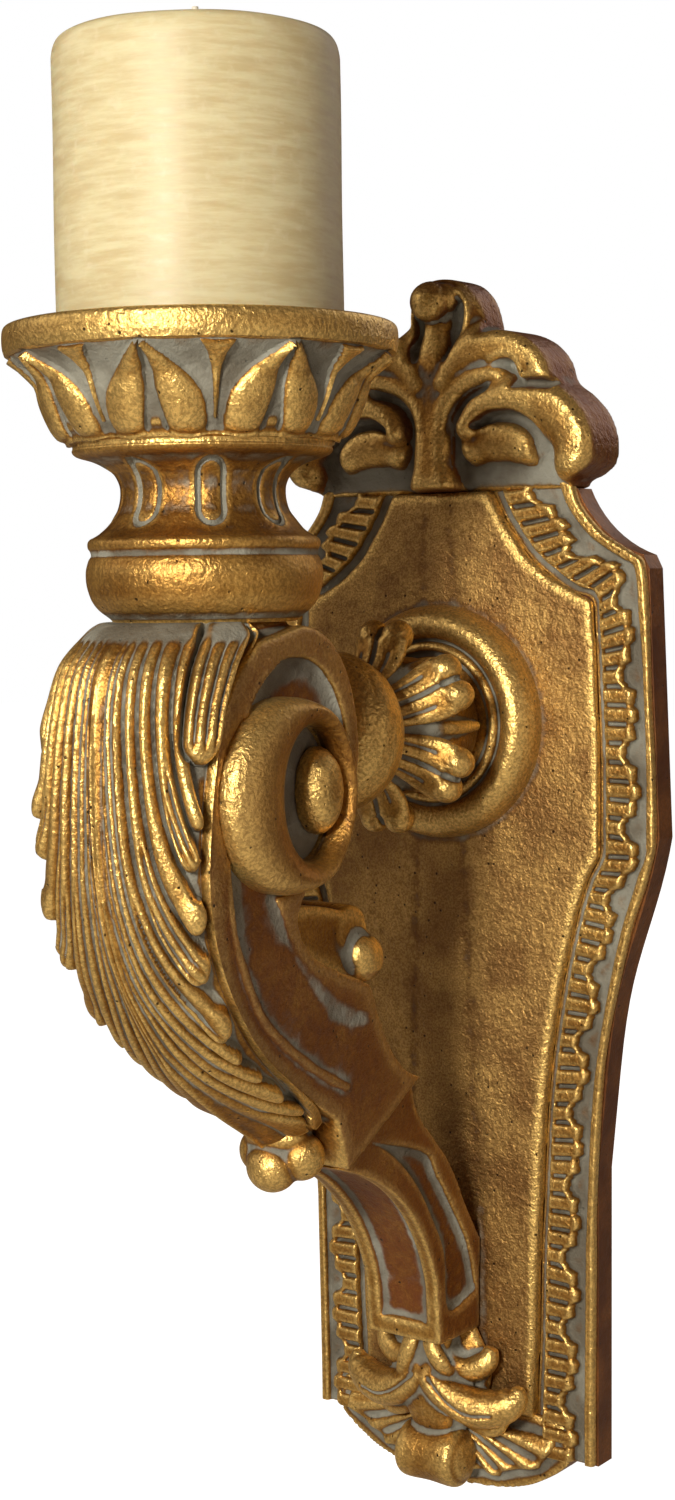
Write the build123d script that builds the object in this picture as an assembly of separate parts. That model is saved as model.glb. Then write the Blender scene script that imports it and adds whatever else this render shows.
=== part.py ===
from build123d import *
import math
import os

os.makedirs("parts", exist_ok=True)

# Wall sconce for one pillar candle, in millimetres.
# The wall is the plane Y = 0 and the sconce stands out towards -Y.
# X runs across the wall, Z is up, and Z = 0 is the height of the boss that carries the arm.

# Candle, and the turned cup that it stands in
candle_r = 38.1
candle_h = 76.2
candle_edge = 4.0
wick_r = 0.9
wick_h = 9.0
wick_floor = 6.0
cup_y = -124.5
seat_z = 109.5
rim_z = 111.0
rim_r = 52.0
dish_base_z = 79.0
spool_base_z = 33.0
nut_pocket_r = 12.0
nut_pocket_depth = 9.5

# Backplate, panel and border
board_t = 8.0
plate_top = 70.0
plate_bottom = -226.0
plate_foot_x = 52.0
plate_wide_x = 73.5
panel_front = 14.0
panel_edge = 11.2
panel_flat_x = 12.0
panel_bottom = -214.0
border_front = 11.0

# Boss, rosette and spindle on the axis of the arm stud
boss_r = 35.5
boss_inner_r = 21.5
boss_front = 21.5
rosette_back = 18.0
rosette_front = 57.0
rosette_lobes = 6
lobe_ring_r = 25.5
lobe_r = 6.5
lobe_y = 40.5
bead_r = 23.5
bead_centre = 69.0
bead_half = 12.0
tenon_r = 12.0
tenon_end = 97.0

# Arm, leg and foot
arm_half = 28.0
scroll_half = 19.0
ring_face_x = 36.0
recess_depth = 3.0
pad_r = 22.0
pad_h = 9.0
foot_z = -188.0
foot_half = 13.5
block_half = 17.0

# Fixings
rod_r = 4.0
rod_low_z = 2.0
rod_high_z = 106.0
nut_across_flats = 13.0
nut_t = 6.5
rod_washer_r = 11.0
washer_r = 8.0
washer_t = 1.6
stud_start = 3.0
stud_end = 115.0
foot_screw_r = 2.5
foot_screw_z = -174.0
foot_screw_end = 32.0
screw_head_r = 5.0
screw_head_back = 1.2
screw_head_front = 4.4
head_recess_r = 9.0
head_recess_depth = 6.0
hanger_x = 38.0
hanger_z = 20.0
hanger_w = 16.0
hanger_h = 44.0
hanger_t = 1.5
keyhole_r = 4.5
keyslot_r = 2.25
keyslot_rise = 10.0
pocket_depth = 6.5
pocket_w = 11.0
pocket_h = 22.0
hanger_screw_r = 1.5
hanger_screw_dz = 18.0
dowel_r = 4.0
dowel_half = 12.0
dowel_x = 24.0


def slab(face, near, far):
    """A solid of constant outline between two distances from the wall."""
    return extrude(Plane.XZ.offset(near) * face, far - near)


def cheek(face, half):
    """A side profile, drawn in Y and Z, made solid on both sides of X = 0."""
    return extrude(Plane.YZ.offset(-half) * face, 2 * half)


def two_sided(*half):
    """The face inside a right-hand half outline and its mirror image."""
    outline = Curve() + list(half)
    outline += mirror(outline, about=Plane.YZ)
    return make_face(outline)


def turned_up(*profile):
    """A turning on the cup's axis; the profile is radius and height."""
    face = make_face(Plane.XZ * (Curve() + list(profile)))
    return Pos(0, cup_y, 0) * revolve(face, Axis.Z)


def turned_out(*profile):
    """A turning on the boss axis; the profile is radius and distance from the wall."""
    face = make_face(Curve() + list(profile))
    return mirror(revolve(face, Axis.Y), about=Plane.XZ)


def rod_along_y(radius, near, far, x=0.0, z=0.0):
    """A round bar that stands out from the wall between two distances."""
    return slab(Pos(x, z) * Circle(radius), near, far)


def plate_face():
    """Outline of the backplate: narrow foot, wide shoulders, swept in to the crest."""
    return two_sided(
        Line((0, plate_bottom), (plate_foot_x, plate_bottom)),
        Line((plate_foot_x, plate_bottom), (52.5, -135)),
        Spline((52.5, -135), (55, -112), (60.5, -77), (70, -47.5), (plate_wide_x, -33)),
        Line((plate_wide_x, -33), (70.5, 46)),
        Line((70.5, 46), (68.5, 50)),
        ThreePointArc((68.5, 50), (55.5, 57.5), (46.5, plate_top)),
        Line((46.5, plate_top), (0, plate_top)),
    )


def panel_face():
    """Outline of the raised centre panel."""
    return two_sided(
        Line((0, plate_top), (17.5, plate_top)),
        Spline((17.5, plate_top), (30, 50.5), (38, 44), (52.4, 36.5)),
        Line((52.4, 36.5), (54.5, -12)),
        Line((54.5, -12), (54.2, -39)),
        Spline((54.2, -39), (46.5, -57), (37.8, -99), (33.5, -164), (31, panel_bottom)),
        Line((31, panel_bottom), (0, panel_bottom)),
    )


def hanger_sites():
    return [(-hanger_x, hanger_z), (hanger_x, hanger_z)]


def backplate():
    """The shaped board, recessed behind for the hangers and the head of the foot screw."""
    board = slab(plate_face(), 0, board_t)
    board -= rod_along_y(rod_r, stud_start, board_t + 1)
    board -= rod_along_y(foot_screw_r, -1, board_t + 1, z=foot_screw_z)
    board -= rod_along_y(head_recess_r, -1, head_recess_depth, z=foot_screw_z)
    for x, z in hanger_sites():
        board -= slab(Pos(x, z) * Rectangle(hanger_w, hanger_h), -1, hanger_t)
        board -= slab(Pos(x, z + keyslot_rise / 2) * Rectangle(pocket_w, pocket_h), 0, pocket_depth)
        for side in (-1, 1):
            board -= rod_along_y(hanger_screw_r, 0, pocket_depth, x, z + side * hanger_screw_dz)
    for x in (-dowel_x, dowel_x):
        board -= Pos(x, -board_t / 2, plate_top) * Cylinder(dowel_r / 2, 2 * dowel_half)
    return board


def centre_panel():
    """Raised panel: a flat strip down the middle and a slope to each side."""
    panel = slab(panel_face(), board_t, panel_front)
    slope = make_face(Polyline((panel_flat_x, -panel_front), (60, -panel_edge), (60, -20),
                               (panel_flat_x, -20), close=True))
    wedge = Pos(0, 0, panel_bottom - 5) * extrude(slope, plate_top - panel_bottom + 10)
    panel -= wedge
    panel -= mirror(wedge, about=Plane.YZ)
    panel -= rod_along_y(rod_r, 0, panel_front + 1)
    panel -= rod_along_y(foot_screw_r, 0, panel_front + 1, z=foot_screw_z)
    return panel


def border_moulding(panel_prism, shell):
    """The right-hand gadrooned strip, from the crest to the shell."""
    strip = slab(plate_face(), board_t, border_front) - panel_prism
    strip &= Pos(50, 0, -78) * Box(100, 60, 2 * 148)
    return strip - shell


def crest():
    """Carved crest: two C-scrolls a side, a stem and a finial that curls forward."""
    back = two_sided(
        Line((0, plate_top), (46, plate_top)),
        Spline((46, plate_top), (54.5, 75), (56.5, 82), (54, 90), (43, 99)),
        Spline((43, 99), (41.5, 106), (36, 113), (17, 116.5)),
        Spline((17, 116.5), (15.5, 126), (8, 133), (0, 134.5)),
    )
    body = slab(back, 0, 11)
    for side in (-1, 1):
        lower = slab(Pos(side * 38, 84) * Rot(0, 0, side * -25) * Ellipse(15.5, 10.5), 10, 18)
        upper = slab(Pos(side * 26, 105) * Rot(0, 0, side * -20) * Ellipse(14, 8.5), 10, 17)
        body += fillet(lower.faces().sort_by(Axis.Y)[0].edges(), 4)
        body += fillet(upper.faces().sort_by(Axis.Y)[0].edges(), 4)
    stem = make_face(Polyline((-8, 72), (8, 72), (5, 96), (5, 124), (-5, 124), (-5, 96), close=True))
    body += slab(stem, 10, 16)
    body += Pos(0, -15, 127.5) * Sphere(6.5)
    for x in (-dowel_x, dowel_x):
        body -= Pos(x, -board_t / 2, plate_top) * Cylinder(dowel_r / 2, 2 * dowel_half)
    return body


def base_shell():
    """Scallop shell that finishes the foot of the plate."""
    low = two_sided(
        Line((0, plate_bottom), (42, plate_bottom)),
        Spline((42, plate_bottom), (34, -233.5), (20, -239), (0, -240.5)),
    )
    high = Pos(0, (panel_bottom + plate_bottom) / 2) * Rectangle(62, panel_bottom - plate_bottom)
    return slab(low, 0, 14) + slab(high, board_t, 14)


def drop_leaf(shell):
    """Leaf that hangs under the foot of the arm and ends in a small roll."""
    spray = two_sided(
        Line((0, foot_z), (13, foot_z)),
        Spline((13, foot_z), (20, -194), (28, -203), (27, -212), (19, -216)),
        Spline((19, -216), (11, -217), (7, -224), (0, -226)),
    )
    body = slab(spray, panel_front, 26)
    body += slab(Pos(0, -206) * Ellipse(10, 17), panel_front, 31)
    body += Pos(0, -19, -229) * Rot(0, 90, 0) * Cylinder(8.5, 16)
    return body - shell - slab(Pos(0, -202) * Rectangle(80, 24), 0, panel_front)


def boss_ring(panel):
    """Half-round ring on the panel, with a flat floor for the rosette."""
    half_width = (boss_r - boss_inner_r) / 2
    ring = turned_out(
        Polyline((rod_r, panel_edge), (rod_r, rosette_back), (boss_inner_r, rosette_back)),
        ThreePointArc((boss_inner_r, rosette_back), (boss_r - half_width, boss_front), (boss_r, 15)),
        Polyline((boss_r, 15), (boss_r, panel_edge), (rod_r, panel_edge)),
    )
    return ring - panel


def rosette():
    """Calyx of six leaves whose tips curl back in two small lobes."""
    body = turned_out(
        Polyline((rod_r, rosette_back), (19, rosette_back), (20, 23)),
        Spline((20, 23), (23.5, 33), (23, 41), (15, 48), (12.5, rosette_front)),
        Polyline((12.5, rosette_front), (rod_r, rosette_front), (rod_r, rosette_back)),
    )
    for i in range(rosette_lobes):
        angle = math.radians(90 + i * 360 / rosette_lobes)
        for turn in (-1, 1):
            swing = angle + turn * math.radians(7.5)
            lobe_x = lobe_ring_r * math.cos(swing)
            lobe_z = lobe_ring_r * math.sin(swing)
            body += Pos(lobe_x, -lobe_y, lobe_z) * Sphere(lobe_r)
    return body


def spindle_bead():
    """Fat bead between the rosette and the volute, with a tenon into the arm."""
    near = bead_centre - bead_half
    far = bead_centre + bead_half
    return turned_out(
        Line((rod_r, near), (12.5, near)),
        Spline((12.5, near), (20, 61), (bead_r, bead_centre), (20, 77), (tenon_r, far)),
        Polyline((tenon_r, far), (tenon_r, tenon_end), (rod_r, tenon_end), (rod_r, near)),
    )


def dish():
    """Leaf-carved dish: flared bowl, rim band and a flat floor for the candle."""
    return turned_up(
        Polyline((rod_r, dish_base_z), (34.5, dish_base_z), (36, 81.5)),
        Spline((36, 81.5), (40.5, 87), (43, 94), (46, 98.5), (51, 103)),
        Polyline((51, 103), (rim_r, 104), (rim_r, rim_z), (rim_r - 3, rim_z), (rim_r - 3.6, seat_z),
                 (nut_pocket_r, seat_z), (nut_pocket_r, seat_z - nut_pocket_depth),
                 (rod_r, seat_z - nut_pocket_depth), (rod_r, dish_base_z)),
    )


def cup_spool():
    """Turned spool under the dish: bead, waist, flange, groove and torus."""
    return turned_up(
        Polyline((rod_r, spool_base_z), (25, spool_base_z), (26, 34.5)),
        Spline((26, 34.5), (30.5, 39), (31.5, 45), (31, 49.5)),
        Polyline((31, 49.5), (30.5, 51), (31, 53), (30, 55.5)),
        Spline((30, 55.5), (26, 58.5), (22.3, 64.5), (23, 71.5), (30, 76)),
        Polyline((30, 76), (34, 77.5), (34, dish_base_z), (rod_r, dish_base_z), (rod_r, spool_base_z)),
    )


def scroll_underside():
    """The curve along which the small scroll lies on the back of the arm."""
    return Spline((-82, -70), (-99, -63), (-111, -57), (-119, -47))


def arm_side():
    """Side view of the arm: a volute above, a long S down to the block."""
    return make_face(Curve() + [
        Spline((-135, 28), (-148.5, 13.5), (-156, -12), (-156, -38), (-143, -67.5), (-120, -89.5),
               (-93, -106.5)),
        Polyline((-93, -106.5), (-86, -123), (-53, -101.5)),
        Spline((-53, -101.5), (-68, -92), (-76, -81), (-82, -70)),
        scroll_underside(),
        Spline((-119, -47), (-117.5, -41), (-113, -37)),
        Spline((-113, -37), (-103, -27), (-94, -12), (-93, 4), (-103, 26), (-117, 32)),
        Line((-117, 32), (-135, 28)),
    ])


def width_limit():
    """The arm narrows downwards, as seen from the front."""
    front = two_sided(
        Line((0, 33), (arm_half, 33)),
        Line((arm_half, 33), (27, -40)),
        Spline((27, -40), (22, -80), (block_half, -124)),
        Line((block_half, -124), (0, -124)),
    )
    return slab(front, 40, 175)


def cup_pad():
    """Round seat on top of the arm for the foot of the spool."""
    return Pos(0, cup_y, spool_base_z - pad_h / 2) * Cylinder(pad_r, pad_h)


def ring_outer():
    return Pos(-126.5, -12.5) * Circle(26)


def scroll_arm(solids_inside):
    """The S-scroll that carries the cup, with a sunk field on each side."""
    body = (cheek(arm_side(), arm_half + 2) & width_limit()) + cup_pad()
    field = make_face(Curve() + [
        Spline((-126, 23), (-140, 11), (-146, -7), (-147.5, -38), (-138, -62), (-118, -82), (-92, -98)),
        Line((-92, -98), (-80, -80)),
        Spline((-80, -80), (-100, -74), (-120, -55), (-128, -40)),
        Spline((-128, -40), (-104, -24), (-97.5, -8), (-105, 17), (-126, 23)),
    ])
    field = field + ring_outer()
    for side in (-1, 1):
        low = side * (arm_half + 3) if side < 0 else arm_half - recess_depth
        body -= extrude(Plane.YZ.offset(low) * field, 3 + recess_depth)
    for inner in solids_inside:
        body -= inner
    return body


def leaf_body():
    """Acanthus leaf on the front of the arm: crowned, widest at the top."""
    heights = [28, 18, 4, -12, -30, -46, -60, -76, -92, -106, -119]
    edges = [-135, -145, -153, -156, -156.5, -154.5, -148, -136, -117, -93.5, -88.5]
    crowns = [-163, -166, -168, -168, -167, -163.5, -154.5, -143, -127, -112, -103]
    halves = [28, 28, 28, 27.5, 27, 26, 24.5, 22.5, 20, 13, 10]
    sections = []
    for z, edge, crown, half in zip(heights, edges, crowns, halves):
        rear = edge + 5
        outline = Curve() + [
            ThreePointArc((-half, edge), (0, crown), (half, edge)),
            Polyline((half, edge), (half * 0.9, rear), (-half * 0.9, rear), (-half, edge)),
        ]
        sections.append(Pos(0, 0, z) * make_face(outline))
    return loft(sections, ruled=True)


def acanthus_leaf(arm_prism):
    """The leaf laid over the arm's front, with the knob at its tip."""
    leaf = leaf_body()
    for side in (-1, 1):
        leaf += Pos(side * 5, -99, -117) * Sphere(7.5)
    return leaf - arm_prism - cup_pad()


def leg():
    """Curved leg from the block to the foot against the panel."""
    side = make_face(Curve() + [
        Polyline((-86, -123), (-79, -125.5)),
        Spline((-79, -125.5), (-68, -130.5), (-54, -141), (-43.5, -155), (-37.5, -170)),
        Polyline((-37.5, -170), (-36, foot_z), (-panel_front, foot_z), (-panel_front, -160)),
        Spline((-panel_front, -160), (-24, -144.5), (-34, -129.5), (-46, -117.5), (-53, -101.5)),
        Line((-53, -101.5), (-86, -123)),
    ])
    front = two_sided(
        Line((0, -100), (block_half - 1, -100)),
        Spline((block_half - 1, -100), (14.5, -140), (foot_half, foot_z)),
        Line((foot_half, foot_z), (0, foot_z)),
    )
    body = cheek(side, block_half) & slab(front, 0, 100)
    return body - rod_along_y(foot_screw_r, 0, foot_screw_end, z=foot_screw_z)


def back_scroll():
    """Small scroll behind the arm, with a ball at each end of its roll."""
    side = make_face(Curve() + [
        Spline((-119, -47), (-112, -45), (-98, -46), (-85, -50), (-77, -57), (-77, -65), (-82, -70)),
        scroll_underside(),
    ])
    body = cheek(side, scroll_half)
    for end in (-1, 1):
        body += Pos(end * scroll_half, -83, -61) * Sphere(5.5)
    return body


def volute_ring():
    """Fat ring on the cheek of the volute; the eye sits off centre, as in a spiral."""
    low = arm_half - recess_depth
    eye = Pos(-117, -12.5) * Ellipse(10.5, 17)
    ring = extrude(Plane.YZ.offset(low) * (ring_outer() - eye), ring_face_x - low)
    outer_edge = ring.faces().sort_by(Axis.X)[-1].edges().sort_by(SortBy.LENGTH)[-1]
    return fillet(outer_edge, 6)


def eye_button():
    """Oval button in the eye of the volute."""
    low = arm_half - recess_depth
    blank = extrude(Plane.YZ.offset(low) * (Pos(-114, -12) * Ellipse(6, 11)), 8.5)
    return fillet(blank.faces().sort_by(Axis.X)[-1].edges(), 3)


def candle():
    """Pillar candle with a softened top edge and a hole for its wick."""
    body = Cylinder(candle_r, candle_h, align=(Align.CENTER, Align.CENTER, Align.MIN))
    body = fillet(body.edges().sort_by(Axis.Z)[-1], candle_edge)
    body -= Pos(0, 0, wick_floor) * Cylinder(wick_r, candle_h, align=(Align.CENTER, Align.CENTER, Align.MIN))
    return Pos(0, cup_y, seat_z) * body


def wick():
    length = candle_h + wick_h - wick_floor
    stick = Cylinder(wick_r, length, align=(Align.CENTER, Align.CENTER, Align.MIN))
    return Pos(0, cup_y, seat_z + wick_floor) * stick


def hex_nut(z):
    face = RegularPolygon(nut_across_flats / 2, 6, major_radius=False) - Circle(rod_r)
    return Pos(0, cup_y, z) * extrude(face, nut_t)


def cup_rod():
    """Threaded rod that clamps the dish and the spool down on the arm."""
    length = rod_high_z - rod_low_z
    return Pos(0, cup_y, rod_low_z) * Cylinder(rod_r, length, align=(Align.CENTER, Align.CENTER, Align.MIN))


def rod_washer():
    face = Circle(rod_washer_r) - Circle(rod_r)
    return Pos(0, cup_y, seat_z - nut_pocket_depth) * extrude(face, washer_t)


def arm_stud():
    """Threaded stud, glued into the board, that carries boss, rosette, bead and arm."""
    return rod_along_y(rod_r, stud_start, stud_end)


def foot_screw():
    """Pan-head screw from behind the board into the foot."""
    head = rod_along_y(screw_head_r, screw_head_back, screw_head_front, z=foot_screw_z)
    return head + rod_along_y(foot_screw_r, screw_head_front, foot_screw_end, z=foot_screw_z)


def foot_washer():
    washer = rod_along_y(washer_r, screw_head_front, head_recess_depth, z=foot_screw_z)
    return washer - rod_along_y(foot_screw_r, 4, 7, z=foot_screw_z)


def hanger_plates():
    """Two steel keyhole plates let in flush with the back of the board."""
    plates = []
    for x, z in hanger_sites():
        face = Pos(x, z) * Rectangle(hanger_w, hanger_h)
        face -= Pos(x, z) * Circle(keyhole_r)
        face -= Pos(x, z + keyslot_rise / 2) * Rectangle(2 * keyslot_r, keyslot_rise)
        face -= Pos(x, z + keyslot_rise) * Circle(keyslot_r)
        for side in (-1, 1):
            face -= Pos(x, z + side * hanger_screw_dz) * Circle(hanger_screw_r)
        plates.append(slab(face, 0, hanger_t))
    return Compound(children=plates)


def hanger_screws():
    """Four short screws that hold the keyhole plates, heads flush with the wall face."""
    screws = []
    for x, z in hanger_sites():
        for side in (-1, 1):
            screws.append(rod_along_y(hanger_screw_r, 0, pocket_depth, x, z + side * hanger_screw_dz))
    return Compound(children=screws)


def crest_dowels():
    """Two beech dowels that join the crest to the top of the board."""
    pins = [Pos(x, -board_t / 2, plate_top) * Cylinder(dowel_r / 2, 2 * dowel_half)
            for x in (-dowel_x, dowel_x)]
    return Compound(children=pins)


panel = centre_panel()
panel_prism = slab(panel_face(), 0, 30)
shell = base_shell()
right_border = border_moulding(panel_prism, shell)
right_ring = volute_ring()
left_ring = mirror(right_ring, about=Plane.YZ)
right_button = eye_button()
left_button = mirror(right_button, about=Plane.YZ)
stud = arm_stud()
rod = cup_rod()
bead = spindle_bead()
small_scroll = back_scroll()
arm_block = cheek(arm_side(), arm_half + 2)

nodes = {
    "backplate": backplate(),
    "centre_panel": panel,
    "right_border": right_border,
    "left_border": mirror(right_border, about=Plane.YZ),
    "crest": crest(),
    "crest_dowels": crest_dowels(),
    "base_shell": shell,
    "drop_leaf": drop_leaf(shell),
    "boss_ring": boss_ring(panel),
    "rosette": rosette(),
    "spindle_bead": bead,
    "scroll_arm": scroll_arm([bead, stud, rod]),
    "acanthus_leaf": acanthus_leaf(arm_block),
    "back_scroll": small_scroll,
    "leg": leg(),
    "right_volute_ring": right_ring,
    "left_volute_ring": left_ring,
    "right_eye_button": right_button,
    "left_eye_button": left_button,
    "cup_spool": cup_spool(),
    "dish": dish(),
    "cup_rod": rod,
    "rod_nut": hex_nut(seat_z - nut_pocket_depth + washer_t),
    "rod_washer": rod_washer(),
    "arm_stud": stud,
    "foot_screw": foot_screw(),
    "foot_washer": foot_washer(),
    "hanger_plates": hanger_plates(),
    "hanger_screws": hanger_screws(),
    "candle": candle(),
    "wick": wick(),
}

for name, solid in nodes.items():
    export_step(solid, f"parts/{name}.step")
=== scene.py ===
import math

import bmesh
import bpy
import numpy as np
from mathutils import Matrix, Quaternion, Vector


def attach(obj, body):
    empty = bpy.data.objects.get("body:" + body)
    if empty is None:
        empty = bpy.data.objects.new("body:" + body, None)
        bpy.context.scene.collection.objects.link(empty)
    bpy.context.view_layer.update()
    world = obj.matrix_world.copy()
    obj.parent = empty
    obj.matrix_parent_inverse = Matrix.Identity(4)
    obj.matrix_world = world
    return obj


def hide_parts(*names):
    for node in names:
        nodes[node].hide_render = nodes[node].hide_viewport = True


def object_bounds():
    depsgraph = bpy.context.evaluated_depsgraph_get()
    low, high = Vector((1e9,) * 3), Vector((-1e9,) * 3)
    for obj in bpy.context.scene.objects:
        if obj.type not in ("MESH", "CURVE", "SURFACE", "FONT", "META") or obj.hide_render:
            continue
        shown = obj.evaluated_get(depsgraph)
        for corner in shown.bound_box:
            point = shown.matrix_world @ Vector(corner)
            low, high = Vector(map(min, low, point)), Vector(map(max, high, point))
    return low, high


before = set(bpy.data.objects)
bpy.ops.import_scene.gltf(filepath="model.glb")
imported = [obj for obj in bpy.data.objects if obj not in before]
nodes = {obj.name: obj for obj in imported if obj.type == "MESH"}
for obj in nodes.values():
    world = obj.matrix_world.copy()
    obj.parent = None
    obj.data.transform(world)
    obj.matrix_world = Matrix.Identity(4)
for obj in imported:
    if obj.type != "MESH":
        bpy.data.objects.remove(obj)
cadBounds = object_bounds()
scene = bpy.context.scene
mm = 0.001  # everything below is drawn in millimetres and written in metres
print("frame loaded with", len(nodes), "nodes")


# points and strokes

def readPoints(mesh):
    flat = np.empty(len(mesh.vertices) * 3, np.float32)
    mesh.vertices.foreach_get("co", flat)
    return flat.reshape(-1, 3).astype(float) / mm


def writePoints(mesh, points):
    mesh.vertices.foreach_set("co", (np.asarray(points) * mm).astype(np.float32).ravel())
    mesh.update()


def readNormals(mesh):
    flat = np.empty(len(mesh.vertices) * 3, np.float32)
    mesh.vertex_normals.foreach_get("vector", flat)
    return flat.reshape(-1, 3).astype(float)


# a smooth line through points, with so many steps between two of them
def bend(points, steps=8):
    knots = np.asarray(points, float)
    ends = np.vstack([2 * knots[0] - knots[1], knots, 2 * knots[-1] - knots[-2]])
    t = np.linspace(0, 1, steps, endpoint=False)[:, None]
    runs = []
    for a, b, c, d in zip(ends, ends[1:], ends[2:], ends[3:]):
        runs.append(0.5 * (2 * b + (c - a) * t + (2 * a - 5 * b + 4 * c - d) * t ** 2
                           + (3 * b - a - 3 * c + d) * t ** 3))
    return np.vstack(runs + [knots[-1:]])


def smooth(x):
    x = np.clip(x, 0, 1)
    return x * x * (3 - 2 * x)


def dome(x):
    x = np.clip(x, 0, 1)
    return np.sqrt(x * (2 - x))


# 1 on the stroke's line, falling to 0 at its edge; sizes are half widths along it
def nearPath(across, up, path, sizes, steps=6):
    line = bend(path, steps)
    wide = bend(np.asarray(sizes, float)[:, None], steps)[:, 0]
    near = np.zeros(len(across))
    for (x0, y0), (x1, y1), w0, w1 in zip(line, line[1:], wide, wide[1:]):
        reach = max(w0, w1)
        inside = np.flatnonzero((across > min(x0, x1) - reach) & (across < max(x0, x1) + reach)
                                & (up > min(y0, y1) - reach) & (up < max(y0, y1) + reach))
        dx, dy = across[inside] - x0, up[inside] - y0
        run = np.array([x1 - x0, y1 - y0])
        t = np.clip((dx * run[0] + dy * run[1]) / max(run @ run, 1e-9), 0, 1)
        gap = np.hypot(dx - t * run[0], dy - t * run[1])
        near[inside] = np.maximum(near[inside], 1 - gap / (w0 + (w1 - w0) * t))
    return near


# distance to a closed outline, positive inside it
def insideBy(across, up, outline):
    ring = np.asarray(outline, float)
    best = np.full(len(across), 1e9)
    within = np.zeros(len(across), bool)
    for (x0, y0), (x1, y1) in zip(ring, np.roll(ring, -1, 0)):
        run = np.array([x1 - x0, y1 - y0])
        t = np.clip(((across - x0) * run[0] + (up - y0) * run[1]) / max(run @ run, 1e-9), 0, 1)
        best = np.minimum(best, np.hypot(across - x0 - t * run[0], up - y0 - t * run[1]))
        if y0 != y1:
            crosses = ((y0 > up) != (y1 > up)) & (across < x0 + (up - y0) * (x1 - x0) / (y1 - y0))
            within ^= crosses
    return np.where(within, best, -best)


# meshes

def newPiece(name, bm):
    mesh = bpy.data.meshes.new(name)
    bm.to_mesh(mesh)
    bm.free()
    piece = bpy.data.objects.new(name, mesh)
    scene.collection.objects.link(piece)
    return piece


def shadeSmooth(piece, angle=40):
    piece.data.polygons.foreach_set("use_smooth", [True] * len(piece.data.polygons))
    piece.data.set_sharp_from_angle(angle=math.radians(angle))


def closeUp(piece, gap=0.02):
    bm = bmesh.new()
    bm.from_mesh(piece.data)
    bmesh.ops.remove_doubles(bm, verts=bm.verts, dist=gap * mm)
    bmesh.ops.dissolve_degenerate(bm, edges=bm.edges, dist=0.001 * mm)
    bmesh.ops.holes_fill(bm, edges=[e for e in bm.edges if e.is_boundary], sides=0)
    bmesh.ops.recalc_face_normals(bm, faces=bm.faces)
    bm.to_mesh(piece.data)
    bm.free()
    shadeSmooth(piece)


# a grid of uSteps by vSteps laid out by shape(u, v), which gives x, y and z
def skin(name, uSteps, vSteps, shape):
    bm = bmesh.new()
    bmesh.ops.create_grid(bm, x_segments=uSteps, y_segments=vSteps, size=0.5)
    piece = newPiece(name, bm)
    flat = readPoints(piece.data) * mm
    writePoints(piece.data, np.stack(shape(flat[:, 0] + 0.5, flat[:, 1] + 0.5), axis=1))
    closeUp(piece)
    return piece


def edgeEnds(mesh):
    flat = np.empty(len(mesh.edges) * 2, np.int32)
    mesh.edges.foreach_get("vertices", flat)
    return flat.reshape(-1, 2).T


# each value becomes the average of its neighbours', so many times over
def relaxed(values, ends, rounds):
    a, b = ends
    count = np.maximum(np.bincount(a, minlength=len(values)) + np.bincount(b, minlength=len(values)), 1)
    for _ in range(rounds):
        columns = []
        for k in range(values.shape[1]):
            column = values[:, k]
            total = (np.bincount(a, column[b], len(column)) + np.bincount(b, column[a], len(column)))
            columns.append(total / count)
        values = np.stack(columns, axis=1)
    return values


def soften(piece, rounds):
    mesh = piece.data
    ends = edgeEnds(mesh)
    points = readPoints(mesh)
    for _ in range(rounds):
        points = points + 0.5 * (relaxed(points, ends, 1) - points)
        points = points - 0.45 * (relaxed(points, ends, 1) - points) * 0.6
    writePoints(mesh, points)


def remeshed(piece, voxel, rounds=2):
    step = piece.modifiers.new("even", "REMESH")
    step.mode = "VOXEL"
    step.voxel_size = voxel * mm
    step.use_smooth_shade = True
    bpy.context.view_layer.update()
    made = bpy.data.meshes.new_from_object(piece.evaluated_get(bpy.context.evaluated_depsgraph_get()))
    piece.modifiers.clear()
    piece.data = made
    soften(piece, rounds)
    return piece


def cadCopy(name, *sources):
    bm = bmesh.new()
    for source in sources:
        bm.from_mesh(nodes[source].data)
    bmesh.ops.remove_doubles(bm, verts=bm.verts, dist=0.01 * mm)
    return newPiece(name, bm)


def joined(name, pieces):
    bm = bmesh.new()
    for piece in pieces:
        bm.from_mesh(piece.data)
        bpy.data.objects.remove(piece)
    return newPiece(name, bm)


# a round bar that follows path (x, y, z); flat squeezes it along Y
def rope(path, radii, flat=1.0, sides=16, steps=6):
    line = bend(path, steps)
    thick = bend(np.asarray(radii, float)[:, None], steps)[:, 0]
    ahead = np.gradient(line, axis=0)
    ahead /= np.linalg.norm(ahead, axis=1)[:, None]
    side = np.cross(ahead, [0, 1, 0])
    side /= np.maximum(np.linalg.norm(side, axis=1), 1e-6)[:, None]
    over = np.cross(side, ahead)
    where = np.linspace(0, 1, len(line))

    def shape(u, v):
        turn = u * 2 * math.pi
        mid = [np.interp(v, where, line[:, k]) for k in range(3)]
        size = np.interp(v, where, thick)
        out = []
        for k in range(3):
            s, o = np.interp(v, where, side[:, k]), np.interp(v, where, over[:, k])
            out.append(mid[k] + size * (np.cos(turn) * s + flat * np.sin(turn) * o))
        return out

    return skin("rope", sides, len(line), shape)


def ball(centre, radii, turn=None):
    bm = bmesh.new()
    bmesh.ops.create_icosphere(bm, subdivisions=3, radius=mm)
    place = Matrix.Translation(Vector(centre) * mm)
    if turn:
        place = place @ turn
    bmesh.ops.transform(bm, matrix=place @ Matrix.Diagonal((*radii, 1)), verts=bm.verts)
    return newPiece("ball", bm)


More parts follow.
